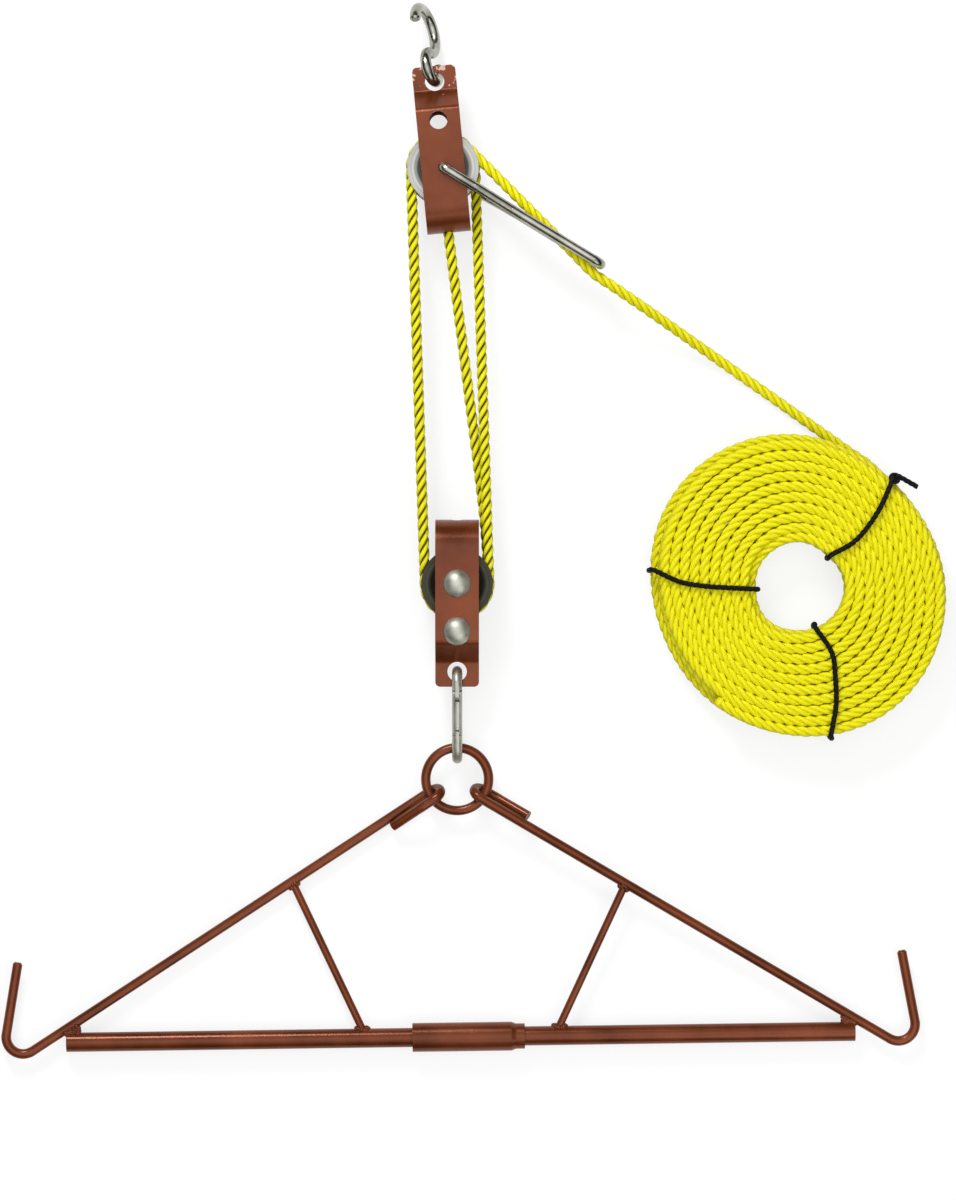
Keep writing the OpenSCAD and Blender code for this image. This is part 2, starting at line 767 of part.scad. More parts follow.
module lower_front_wrap() {
    wrap(low_axle, front_z, 180 + fall_lean, 360 + fall_lean);
}

module lower_rear_wrap() {
    wrap(low_axle, rear_z, 180 + fall_lean, 360 + first_angle);
}

// Where the rope meets a sheave
function tangent(axle, z, angle) = [axle[0], axle[1], z] + polar(pitch_r, angle);

// A fall from the upper block, with a small gap before the lower one
module fall(points, radii) {
    last = len(points) - 1;
    dir = unit(points[last] - points[last - 1]);
    ends = [for (i = [0:last]) i == last ? points[i] - rope_gap * dir : points[i]];
    color(yellow) rod(ends, radii, rope_d);
}

module rope_fall_1() {
    fall([becket, [knee[0], low_y + knee[1], rear_z], tangent(low_axle, rear_z, first_angle)], [knee_r]);
}

module rope_fall_2() {
    fall([tangent(top_axle, rear_z, 180 + fall_lean), tangent(low_axle, rear_z, 180 + fall_lean)], []);
}

module rope_fall_3() {
    fall([tangent(top_axle, rear_z, fall_lean), tangent(low_axle, front_z, fall_lean)], []);
}

module rope_fall_4() {
    fall([tangent(top_axle, front_z, 180 + fall_lean), tangent(low_axle, front_z, 180 + fall_lean)], []);
}

// The dead end of the rope: it comes in through the becket hole and is knotted inside the strap
module becket_knot() {
    knot_r = rope_r + rope_gap;
    bend_r = plate_in - fold_step - rope_r - rope_gap;
    knot_y = -axle_to_bend - sqrt(bend_r * bend_r - knot_r * knot_r);
    core_at = -axle_to_bend - plate_out + 2 * loose_gap;
    color(yellow) at_upper_block() {
        translate([0, core_at, 0]) rotate([-90, 0, 0]) cylinder(h = knot_y + rope_d - core_at, d = rope_d);
        translate([0, knot_y, 0]) rotate([90, 0, 0])
            rotate_extrude() translate([knot_r, 0]) circle(d = rope_d);
    }
}

module haul_line() {
    color(yellow) swept_tube(haul_route, rope_r, haul_sides);
}

// The coil: radius and height after a number of turns from the outside of its lowest layer
function layer_at(t) = min(coil_top_layer, floor(t / (layer_turns + climb_turns)));
function turn_radius(layer, s) = layer % 2 == 0 ? turn_out - turn_step * s : turn_in + turn_step * s;
function oval_at(angle) = coil_oval * cos(2 * (angle - oval_angle));
function coil_point(t) =
    let (layer = layer_at(t),
        s = t - layer * (layer_turns + climb_turns),
        climb = max(0, s - layer_turns) / climb_turns,
        angle = coil_start - 360 * t,
        r = turn_radius(layer, min(s, layer_turns)),
        bulge = oval_at(angle) * (r - turn_in) / (turn_out - turn_in),
        z = coil_floor + layer_h * (layer + eased(climb)))
    [coil_centre[0], coil_centre[1], 0] + polar(r + bulge, angle, z);
coil_count = round(coil_turns * coil_steps);
coil_middle = [for (i = [0:coil_count]) coil_point(i / coil_steps)];
coil_path = concat(
    [coil_middle[0] + rope_d * unit(coil_middle[0] - coil_middle[1])],
    coil_middle,
    [coil_middle[coil_count] + rope_d * unit(coil_middle[coil_count] - coil_middle[coil_count - 1])]);

module rope_coil() {
    color(yellow) swept_tube(coil_path, rope_r, coil_sides);
}

// A cord round the coil, drawn as a loop in an upright plane through its axis
module coil_tie(angle) {
    inner = turn_in - tie_room;
    outer = turn_out + oval_at(angle) + tie_room;
    middle = (inner + outer) / 2;
    floor_z = tie_d / 2;
    roof_z = coil_roof + tie_d / 2;
    points = [[middle, 0, floor_z], [outer, 0, floor_z], [outer, 0, roof_z], [inner, 0, roof_z],
        [inner, 0, floor_z], [middle, 0, floor_z]];
    color(black_cord) translate([coil_centre[0], coil_centre[1], 0]) rotate(angle)
        rod(points, [for (i = [1:4]) tie_bend_r], tie_d);
}

module coil_tie_left() {
    coil_tie(tie_angles[0]);
}

// This tie has its knot and tail at its outer edge
module coil_tie_right() {
    coil_tie(tie_angles[1]);
    knot_z = coil_roof - tie_bend_r;
    knot_x = turn_out + oval_at(tie_angles[1]) + tie_room;
    color(black_cord) translate([coil_centre[0], coil_centre[1], 0]) rotate(tie_angles[1])
        translate([knot_x, 0, knot_z]) {
            rotate_extrude() translate([tie_d / 2, 0]) circle(d = tie_d);
            straight([0, 0, 0], tie_tail_l * unit([1, -1, 0])) circle(d = tie_d);
        }
}

module coil_tie_front() {
    coil_tie(tie_angles[2]);
}

s_hook();
upper_strap();
upper_front_sheave();
upper_rear_sheave();
upper_washers();
rope_lock();
lower_strap();
lower_front_sheave();
lower_rear_sheave();
lower_washers();
axle_bolt();
axle_nut();
clamp_bolt();
clamp_nut();
clamp_spacer();
link_body();
link_gate();
gate_pin();
gate_spring();
gambrel_ring();
left_arm();
left_tube();
left_brace();
right_arm();
right_tube();
right_brace();
centre_sleeve();
becket_knot();
upper_front_wrap();
upper_rear_wrap();
lower_front_wrap();
lower_rear_wrap();
rope_fall_1();
rope_fall_2();
rope_fall_3();
rope_fall_4();
haul_line();
rope_coil();
coil_tie_left();
coil_tie_right();
coil_tie_front();
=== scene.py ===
import json
import math

import bpy
import numpy as np
from mathutils import Matrix, Vector


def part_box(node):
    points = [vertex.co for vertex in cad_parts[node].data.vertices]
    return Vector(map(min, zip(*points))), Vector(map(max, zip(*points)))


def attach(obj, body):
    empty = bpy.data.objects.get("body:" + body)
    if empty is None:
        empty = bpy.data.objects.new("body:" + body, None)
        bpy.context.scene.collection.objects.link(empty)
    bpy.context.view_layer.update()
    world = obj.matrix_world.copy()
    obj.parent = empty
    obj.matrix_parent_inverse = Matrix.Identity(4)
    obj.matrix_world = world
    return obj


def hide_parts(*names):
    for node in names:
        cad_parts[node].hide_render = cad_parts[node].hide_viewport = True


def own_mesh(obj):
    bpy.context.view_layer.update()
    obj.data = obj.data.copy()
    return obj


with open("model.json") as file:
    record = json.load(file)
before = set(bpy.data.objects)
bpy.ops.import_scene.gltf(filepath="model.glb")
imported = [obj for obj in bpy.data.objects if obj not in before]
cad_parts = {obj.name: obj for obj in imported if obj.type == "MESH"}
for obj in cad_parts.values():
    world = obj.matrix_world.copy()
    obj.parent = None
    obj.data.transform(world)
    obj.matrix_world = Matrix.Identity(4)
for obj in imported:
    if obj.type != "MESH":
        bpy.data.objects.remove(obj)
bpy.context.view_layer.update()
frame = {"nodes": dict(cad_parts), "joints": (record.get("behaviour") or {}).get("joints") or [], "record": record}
nodes = frame["nodes"]
jointAt = {j["name"]: Vector(j["pos_m"]) for j in frame["joints"] if "pos_m" in j}
liftJoint = next(j for j in frame["joints"] if j["name"] == "lift")
mm = 0.001
print("frame loaded:", len(nodes), "nodes")

# camera, floor and light

viewSetup = {
    "camera": (0.0172, -0.0600, 5.0),  # straight above, as in the photograph
    "lens": 180.7,
    "floorSize": 200.0,
    "floorColor": (0.3, 0.3, 0.3, 1),
    "floorRoughness": 0.9,
    "floorSpecular": 0.1,
    "floorLift": 0.75,  # how much the floor is brightened towards white where it is looked at
    "keyPower": 34,
    "keySize": 0.8,
    "keyAt": (-0.6, 1.8, 1.6),
    "fillPower": 12,
    "fillSize": 1.5,
    "fillAt": (0.9, -1.6, 1.6),
    # how bright the sky is at each height, from the horizon at 0 to straight above at 1
    "sky": ((0.5, 0.008), (0.78, 0.28), (0.92, 0.6), (1.0, 1.0)),
    "skyStrength": 1.92,
}


def addNode(tree, kind, **settings):
    node = tree.nodes.new(kind)
    for key, value in settings.items():
        setattr(node, key, value)
    return node


def setIn(node, **values):
    for key, value in values.items():
        node.inputs[key.replace("_", " ")].default_value = value
    return node


def numberNode(tree, operation, a, b=None):
    # a and b are numbers or sockets
    node = addNode(tree, "ShaderNodeMath", operation=operation)
    for value, socket in ((a, node.inputs[0]), (b, node.inputs[1])):
        if isinstance(value, bpy.types.NodeSocket):
            tree.links.new(value, socket)
        elif value is not None:
            socket.default_value = value
    return node.outputs[0]


def addLight(name, at, size, power):
    light = bpy.data.lights.new(name, "AREA")
    light.size = size
    light.energy = power
    obj = bpy.data.objects.new(name, light)
    bpy.context.scene.collection.objects.link(obj)
    obj.location = at
    obj.rotation_euler = (-Vector(at)).to_track_quat("-Z", "Y").to_euler()


def makeCamera():
    camera = bpy.data.cameras.new("camera")
    camera.lens = viewSetup["lens"]
    obj = bpy.data.objects.new("camera", camera)
    bpy.context.scene.collection.objects.link(obj)
    obj.location = viewSetup["camera"]
    bpy.context.scene.camera = obj


def makeWorld():
    world = bpy.data.worlds.new("studio")
    world.use_nodes = True
    tree = world.node_tree
    tree.nodes.clear()
    coord = addNode(tree, "ShaderNodeTexCoord")
    split = addNode(tree, "ShaderNodeSeparateXYZ")
    ramp = addNode(tree, "ShaderNodeValToRGB")
    stops = ramp.color_ramp.elements
    stops.remove(stops[1])
    for i, (height, level) in enumerate(viewSetup["sky"]):
        stop = stops.new(height) if i else stops[0]
        stop.position = height
        stop.color = (level, level, level, 1)
    sky = addNode(tree, "ShaderNodeBackground")
    sky.inputs["Strength"].default_value = viewSetup["skyStrength"]
    out = addNode(tree, "ShaderNodeOutputWorld")
    tree.links.new(coord.outputs["Generated"], split.inputs[0])
    tree.links.new(split.outputs["Z"], ramp.inputs[0])
    tree.links.new(ramp.outputs[0], sky.inputs["Color"])
    tree.links.new(sky.outputs[0], out.inputs["Surface"])
    bpy.context.scene.world = world


def makeFloor():
    half = viewSetup["floorSize"] / 2
    mesh = bpy.data.meshes.new("floor")
    corners = [(-half, -half, 0), (half, -half, 0), (half, half, 0), (-half, half, 0)]
    mesh.from_pydata(corners, [], [(0, 1, 2, 3)])
    obj = bpy.data.objects.new("floor", mesh)
    bpy.context.scene.collection.objects.link(obj)
    mat = bpy.data.materials.new("paleFloor")
    mat.use_nodes = True
    tree = mat.node_tree
    bsdf = tree.nodes["Principled BSDF"]
    bsdf.inputs["Base Color"].default_value = viewSetup["floorColor"]
    bsdf.inputs["Roughness"].default_value = viewSetup["floorRoughness"]
    bsdf.inputs["Specular IOR Level"].default_value = viewSetup["floorSpecular"]
    bsdf.inputs["Emission Color"].default_value = (1, 1, 1, 1)
    ray = addNode(tree, "ShaderNodeLightPath").outputs
    seen = numberNode(tree, "MAXIMUM", ray["Is Camera Ray"], ray["Is Glossy Ray"])
    seen = numberNode(tree, "MAXIMUM", seen, ray["Is Transmission Ray"])
    lift = numberNode(tree, "MULTIPLY", seen, viewSetup["floorLift"])
    tree.links.new(lift, bsdf.inputs["Emission Strength"])
    mesh.materials.append(mat)


bpy.context.scene.view_settings.view_transform = "Standard"
makeCamera()
makeWorld()
makeFloor()
addLight("keyLight", viewSetup["keyAt"], viewSetup["keySize"], viewSetup["keyPower"])
addLight("fillLight", viewSetup["fillAt"], viewSetup["fillSize"], viewSetup["fillPower"])
print("camera, floor and light made")

# effects that several finishes share


def newGroup(name, ins, outs):
    tree = bpy.data.node_groups.new(name, "ShaderNodeTree")
    for label, kind, value in ins:
        socket = tree.interface.new_socket(label, in_out="INPUT", socket_type=kind)
        socket.default_value = value
    for label, kind in outs:
        tree.interface.new_socket(label, in_out="OUTPUT", socket_type=kind)
    return tree, addNode(tree, "NodeGroupInput"), addNode(tree, "NodeGroupOutput")


def spanOf(tree, value, low, high, fromLow=0.3, fromHigh=0.7):
    # from the usual span of a noise, if no other is given
    span = addNode(tree, "ShaderNodeMapRange")
    setIn(span, From_Min=fromLow, From_Max=fromHigh, To_Min=low, To_Max=high)
    tree.links.new(value, span.inputs["Value"])
    return span.outputs[0]


wearSetup = {
    "samples": 4,
    "turn": (0.9, 0.74),  # cosine between face and rounded edge, where wear begins and where it is full
    "chip": (0.46, 0.6),  # noise at which an edge is still whole, and at which it is bare
    "detail": 4,
}


def makeEdgeWear():
    # a mask of the outer edges, broken up by noise
    tree, start, end = newGroup(
        "edgeWear",
        [("Width", "NodeSocketFloat", 0.0008), ("Amount", "NodeSocketFloat", 1.0),
         ("Break Up", "NodeSocketFloat", 220.0)],
        [("Mask", "NodeSocketFloat"), ("Soft Normal", "NodeSocketVector")],
    )
    bevel = addNode(tree, "ShaderNodeBevel", samples=wearSetup["samples"])
    geometry = addNode(tree, "ShaderNodeNewGeometry")
    dot = addNode(tree, "ShaderNodeVectorMath", operation="DOT_PRODUCT")
    coord = addNode(tree, "ShaderNodeTexCoord")
    noise = addNode(tree, "ShaderNodeTexNoise")
    noise.inputs["Detail"].default_value = wearSetup["detail"]
    scaled = addNode(tree, "ShaderNodeMath", operation="MULTIPLY", use_clamp=True)
    tree.links.new(start.outputs["Width"], bevel.inputs["Radius"])
    tree.links.new(bevel.outputs[0], dot.inputs[0])
    tree.links.new(geometry.outputs["Normal"], dot.inputs[1])
    tree.links.new(coord.outputs["Object"], noise.inputs["Vector"])
    tree.links.new(start.outputs["Break Up"], noise.inputs["Scale"])
    edge = spanOf(tree, dot.outputs["Value"], 0, 1, *wearSetup["turn"])
    chip = spanOf(tree, noise.outputs[0], 0, 1, *wearSetup["chip"])
    tree.links.new(numberNode(tree, "MULTIPLY", edge, chip), scaled.inputs[0])
    tree.links.new(start.outputs["Amount"], scaled.inputs[1])
    tree.links.new(scaled.outputs[0], end.inputs["Mask"])
    soften = addNode(tree, "ShaderNodeMix", data_type="VECTOR")
    tree.links.new(edge, soften.inputs["Factor"])
    tree.links.new(geometry.outputs["Normal"], soften.inputs[4])
    tree.links.new(bevel.outputs[0], soften.inputs[5])
    tree.links.new(soften.outputs[1], end.inputs["Soft Normal"])
    return tree


mottleDetail = {"Slow": 5, "Fine": 2}


def makeMottle():
    # slow and fine variation of a surface, as one value about 0.5 and one height
    tree, start, end = newGroup(
        "mottle",
        [("Slow", "NodeSocketFloat", 30.0), ("Fine", "NodeSocketFloat", 900.0)],
        [("Tone", "NodeSocketFloat"), ("Height", "NodeSocketFloat")],
    )
    coord = addNode(tree, "ShaderNodeTexCoord")
    for scale, result in (("Slow", "Tone"), ("Fine", "Height")):
        noise = addNode(tree, "ShaderNodeTexNoise")
        noise.inputs["Detail"].default_value = mottleDetail[scale]
        tree.links.new(coord.outputs["Object"], noise.inputs["Vector"])
        tree.links.new(start.outputs[scale], noise.inputs["Scale"])
        tree.links.new(noise.outputs[0], end.inputs[result])
    return tree


def makeLatheRingsAndShade():
    # uneven turned rings about an upright axle, and a mask of painted shade inside the rim, dark round the hub
    tree, start, end = newGroup(
        "latheRingsAndShade",
        [("Centre", "NodeSocketVector", (0, 0, 0)), ("Pitch", "NodeSocketFloat", 0.001),
         ("Web Radius", "NodeSocketFloat", 0.02), ("Web Fade", "NodeSocketFloat", 0.004)],
        [("Tone", "NodeSocketFloat"), ("HubShade", "NodeSocketFloat")],
    )
    coord = addNode(tree, "ShaderNodeTexCoord")
    away = addNode(tree, "ShaderNodeVectorMath", operation="SUBTRACT")
    flat = addNode(tree, "ShaderNodeVectorMath", operation="MULTIPLY")
    flat.inputs[1].default_value = (1, 1, 0)
    reach = addNode(tree, "ShaderNodeVectorMath", operation="LENGTH")
    rings = addNode(tree, "ShaderNodeTexNoise", noise_dimensions="1D")
    setIn(rings, Scale=1.0, Detail=3.0)
    tree.links.new(coord.outputs["Object"], away.inputs[0])
    tree.links.new(start.outputs["Centre"], away.inputs[1])
    tree.links.new(away.outputs[0], flat.inputs[0])
    tree.links.new(flat.outputs[0], reach.inputs[0])
    count = numberNode(tree, "DIVIDE", reach.outputs["Value"], start.outputs["Pitch"])
    tree.links.new(count, rings.inputs["W"])
    tree.links.new(rings.outputs[0], end.inputs["Tone"])
    # painted shade: full within the given radius, gone a given width further out
    outside = numberNode(tree, "SUBTRACT", reach.outputs["Value"], start.outputs["Web Radius"])
    fade = addNode(tree, "ShaderNodeMath", operation="DIVIDE", use_clamp=True)
    tree.links.new(outside, fade.inputs[0])
    tree.links.new(start.outputs["Web Fade"], fade.inputs[1])
    tree.links.new(numberNode(tree, "SUBTRACT", 1, fade.outputs[0]), end.inputs["HubShade"])
    return tree


effects = {"edgeWear": makeEdgeWear(), "mottle": makeMottle(), "latheRingsAndShade": makeLatheRingsAndShade()}


def useEffect(tree, name, **values):
    node = addNode(tree, "ShaderNodeGroup", node_tree=effects[name])
    return setIn(node, **values)


def mixColors(tree, factor, a, b):
    # a and b are colours or sockets
    mix = addNode(tree, "ShaderNodeMix", data_type="RGBA")
    tree.links.new(factor, mix.inputs["Factor"])
    for value, socket in ((a, mix.inputs[6]), (b, mix.inputs[7])):
        if isinstance(value, bpy.types.NodeSocket):
            tree.links.new(value, socket)
        else:
            socket.default_value = (*value, 1)
    return mix.outputs[2]


def bumpOn(tree, height, strength, distance, normal=None):
    bump = addNode(tree, "ShaderNodeBump")
    bump.inputs["Strength"].default_value = strength
    bump.inputs["Distance"].default_value = distance
    tree.links.new(height, bump.inputs["Height"])
    if normal is not None:
        tree.links.new(normal, bump.inputs["Normal"])
    return bump.outputs[0]


def newMaterial(name):
    mat = bpy.data.materials.new(name)
    mat.use_nodes = True
    return mat, mat.node_tree, mat.node_tree.nodes["Principled BSDF"]


brownPaint = {
    "light": (0.22, 0.051, 0.015),
    "dark": (0.115, 0.024, 0.0055),
    "bare": (0.40, 0.18, 0.10),
    "edge": 0.9 * mm,
    "wear": 0.7,
    "breakUp": 260.0,
    "slow": 26.0,
    "fine": 420.0,
    "gloss": (0.17, 0.3),
    "metal": 0.3,  # fine flake in the enamel
    "ior": 1.35,
    "peel": 0.18,
    "peelDepth": 0.3 * mm,
}
chippedGlintPaint = {
    **brownPaint,
    # bare spots worn or chipped through the paint, coloured pale pink as a painted glint
    "bare": (0.60, 0.40, 0.35),
    "tabTop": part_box("upper_strap")[1].y,
    "chipGlintSpan": (34 * mm, 2 * mm),  # below the top of the tab: where the chipped spots with their painted glint begin, and where they are full
    "chipGlintLift": (-0.15, 0.19),  # what is added to the noise there
    "chipGlintCut": (0.69, 0.72),  # noise at which the paint is still whole, and at which it is gone
    "chipGlintScale": 210.0,
    "chipGlintDetail": 3.0,
}


def makePaint(name, settings):
    # reddish brown enamel, a little orange peel, rubbed or chipped at the edges; where the bare colour is pale,
    # the bare spots carry a painted glint
    mat, tree, bsdf = newMaterial(name)
    wear = useEffect(tree, "edgeWear", Width=settings["edge"], Amount=settings["wear"],
                     Break_Up=settings["breakUp"])
    mottle = useEffect(tree, "mottle", Slow=settings["slow"], Fine=settings["fine"])
    tone = spanOf(tree, mottle.outputs["Tone"], 0, 1)
    coat = mixColors(tree, tone, settings["dark"], settings["light"])
    worn = wear.outputs["Mask"]
    # chipped spots towards the top of the tab, in the bare colour that carries a painted glint
    if "chipGlintSpan" in settings:
        place = addNode(tree, "ShaderNodeSeparateXYZ")
        spot = addNode(tree, "ShaderNodeTexCoord").outputs["Object"]
        tree.links.new(spot, place.inputs[0])
        begin, full = (settings["tabTop"] - below for below in settings["chipGlintSpan"])
        near = spanOf(tree, place.outputs["Y"], *settings["chipGlintLift"], begin, full)
        flakes = addNode(tree, "ShaderNodeTexNoise")
        setIn(flakes, Scale=settings["chipGlintScale"], Detail=settings["chipGlintDetail"])
        tree.links.new(spot, flakes.inputs["Vector"])
        chipGlints = spanOf(tree, numberNode(tree, "ADD", flakes.outputs[0], near), 0, 1, *settings["chipGlintCut"])
        worn = numberNode(tree, "MAXIMUM", worn, chipGlints)
    color = mixColors(tree, worn, coat, settings["bare"])
    tree.links.new(color, bsdf.inputs["Base Color"])
    tree.links.new(spanOf(tree, mottle.outputs["Tone"], *settings["gloss"]), bsdf.inputs["Roughness"])
    normal = bumpOn(tree, mottle.outputs["Height"], settings["peel"], settings["peelDepth"],
                    wear.outputs["Soft Normal"])
    tree.links.new(normal, bsdf.inputs["Normal"])
    setIn(bsdf, IOR=settings["ior"], Metallic=settings["metal"])
    return mat


def makeMetal(name, settings, axle=None):
    # plated or cast metal: two tones, rubbed edges, a fine grain, and if it has an axle, turned rings and painted
    # shade inside the rim
    mat, tree, bsdf = newMaterial(name)
    wear = useEffect(tree, "edgeWear", Width=settings["edge"], Amount=settings["wear"],
                     Break_Up=settings["breakUp"])
    mottle = useEffect(tree, "mottle", Slow=settings["slow"], Fine=settings["fine"])
    shade, height = mottle.outputs["Tone"], mottle.outputs["Height"]
    if axle:
        rings = useEffect(tree, "latheRingsAndShade", Centre=axle, Pitch=settings["ringPitch"],
                          Web_Radius=settings["webRadius"], Web_Fade=settings["webFade"])
        shade = numberNode(tree, "DIVIDE", numberNode(tree, "ADD", shade, rings.outputs["Tone"]), 2)
        height = rings.outputs["Tone"]
    tone = spanOf(tree, shade, 0, 1)
    plate = mixColors(tree, tone, settings["dark"], settings["light"])
    # painted shade: a near-black colour over the sheave inside its rim
    if axle:
        plate = mixColors(tree, rings.outputs["HubShade"], plate, settings["hubShade"])
    color = mixColors(tree, wear.outputs["Mask"], plate, settings["bare"])
    tree.links.new(color, bsdf.inputs["Base Color"])
    tree.links.new(spanOf(tree, shade, *settings["gloss"]), bsdf.inputs["Roughness"])
    normal = bumpOn(tree, height, settings["grain"], settings["grainDepth"], wear.outputs["Soft Normal"])
    tree.links.new(normal, bsdf.inputs["Normal"])
    setIn(bsdf, IOR=settings["ior"], Metallic=settings["metal"])
    return mat


anyMetal = {"breakUp": 300.0, "grainDepth": 0.2 * mm, "ior": 1.5}
zincPlate = {
    **anyMetal,
    "light": (0.52, 0.515, 0.455), "dark": (0.24, 0.24, 0.20), "bare": (0.78, 0.78, 0.73),
    "edge": 0.6 * mm, "wear": 0.6, "slow": 60.0, "fine": 1400.0,
    "gloss": (0.18, 0.3), "grain": 0.08, "metal": 1.0,
}
dullZinc = {
    **anyMetal,
    "light": (0.62, 0.62, 0.54), "dark": (0.42, 0.42, 0.35), "bare": (0.80, 0.80, 0.76),
    "edge": 0.6 * mm, "wear": 0.6, "slow": 120.0, "fine": 900.0,
    "gloss": (0.4, 0.55), "grain": 0.25, "metal": 0.9,
}
paleCasting = {
    **anyMetal,
    "light": (0.46, 0.46, 0.44), "dark": (0.20, 0.20, 0.19), "bare": (0.80, 0.80, 0.78),
    "edge": 0.8 * mm, "wear": 0.8, "slow": 30.0, "fine": 700.0,
    "gloss": (0.22, 0.38), "grain": 0.3, "metal": 0.95,
    # the colour inside the rim is painted shade, dark round the hub
    "ringPitch": 1.6 * mm, "hubShade": (0.045, 0.045, 0.042), "webRadius": 20.5 * mm, "webFade": 4 * mm,
}
darkCasting = {
    **anyMetal,
    "light": (0.075, 0.073, 0.053), "dark": (0.028, 0.027, 0.019), "bare": (0.24, 0.24, 0.19),
    "edge": 0.8 * mm, "wear": 0.7, "slow": 45.0, "fine": 900.0,
    "gloss": (0.38, 0.6), "grain": 0.3, "metal": 0.35, "ior": 1.2,
    # the colour inside the rim is painted shade, dark round the hub
    "ringPitch": 1.6 * mm, "hubShade": (0.004, 0.004, 0.003), "webRadius": 21.5 * mm, "webFade": 3 * mm,
}

yellowRope = {
    "crown": (0.98, 0.93, 0.008), "shade": (0.88, 0.80, 0.003),
    # the next colour is painted shade in the grooves between the strands, with the depths over which it fades
    "creaseShade": (0.05, 0.028, 0.0), "creaseSpan": (0.58, 0.93),  # from the rope's middle at 0 to its skin at 1
    "streak": 3.2, "detail": 3.0, "gloss": (0.42, 0.6), "ior": 1.3, "relief": 0.5, "reliefDepth": 0.5 * mm,
}
blackCord = {
    "crown": (0.008, 0.008, 0.009), "shade": (0.002, 0.002, 0.002),
    "streak": 4.0, "detail": 2.0, "gloss": (0.45, 0.65), "ior": 1.25, "relief": 0.6, "reliefDepth": 0.3 * mm,
}
streakSpan = (0.35, 0.65)


def makeFiber(name, settings):
    # streaks along the yarns, and painted shade in the grooves between the strands if there is a colour for it
    mat, tree, bsdf = newMaterial(name)
    fiber = addNode(tree, "ShaderNodeAttribute", attribute_name="ropeFiber")
    streak = addNode(tree, "ShaderNodeTexNoise")
    setIn(streak, Scale=settings["streak"], Detail=settings["detail"])
    tree.links.new(fiber.outputs["Vector"], streak.inputs["Vector"])
    tone = spanOf(tree, streak.outputs[0], 0, 1, *streakSpan)
    color = mixColors(tree, tone, settings["shade"], settings["crown"])
    if "creaseShade" in settings:
        # painted shade in the grooves: full where the surface lies deep towards the rope's middle, scaled for each
        # piece
        depth = addNode(tree, "ShaderNodeAttribute", attribute_name="ropeDepth")
        gap = addNode(tree, "ShaderNodeAttribute", attribute_name="ropeCrease")
        inside = spanOf(tree, depth.outputs["Fac"], 1, 0, *settings["creaseSpan"])
        creaseShade = numberNode(tree, "MULTIPLY", inside, gap.outputs["Fac"])
        color = mixColors(tree, creaseShade, color, settings["creaseShade"])
    tree.links.new(color, bsdf.inputs["Base Color"])
    tree.links.new(spanOf(tree, streak.outputs[0], *settings["gloss"]), bsdf.inputs["Roughness"])
    normal = bumpOn(tree, streak.outputs[0], settings["relief"], settings["reliefDepth"])
    tree.links.new(normal, bsdf.inputs["Normal"])
    setIn(bsdf, IOR=settings["ior"])
    return mat


finish = {
    "paint": makePaint("brownPaint", brownPaint),
    "chipped_glint_paint": makePaint("chippedGlintPaint", chippedGlintPaint),
    "zinc": makeMetal("zincPlate", zincPlate),
    "dull_zinc": makeMetal("dullZinc", dullZinc),
    "pale_sheave": makeMetal("paleCasting", paleCasting, jointAt["upper_front_turn"]),
    "dark_sheave": makeMetal("darkCasting", darkCasting, jointAt["lower_front_turn"]),
    "rope": makeFiber("yellowRope", yellowRope),
    "tie": makeFiber("blackCord", blackCord),
}
ownFinish = {"upper_strap": "chipped_glint_paint"}
for node in ("axle_bolt", "axle_nut", "clamp_bolt", "clamp_nut", "link_body", "link_gate"):
    ownFinish[node] = "dull_zinc"
for part in frame["record"]["subparts"]:
    mesh = nodes[part["node"]].data
    mesh.materials.clear()
    mesh.materials.append(finish[ownFinish.get(part["node"], part["material_slot"])])
print("finishes made:", ", ".join(finish))

# laid rope: strands twisted round a line, as a tree of Geometry Nodes


def vectorNode(tree, operation, a, b=None, scale=None):
    node = addNode(tree, "ShaderNodeVectorMath", operation=operation)
    tree.links.new(a, node.inputs[0])
    if b is not None:
        tree.links.new(b, node.inputs[1])
    if scale is not None:
        tree.links.new(scale, node.inputs["Scale"])
    return node.outputs[0]


def storeOn(tree, geometry, name, value, kind="FLOAT"):
    store = addNode(tree, "GeometryNodeStoreNamedAttribute", data_type=kind, domain="POINT")
    store.inputs["Name"].default_value = name
    tree.links.new(geometry, store.inputs["Geometry"])
    tree.links.new(value, store.inputs["Value"])
    return store.outputs[0]


def namedValue(tree, name):
    node = addNode(tree, "GeometryNodeInputNamedAttribute", data_type="FLOAT")
    node.inputs["Name"].default_value = name
    return node.outputs["Attribute"]


strandDrift = 7.0  # sets the streaks of one strand apart from those of the next


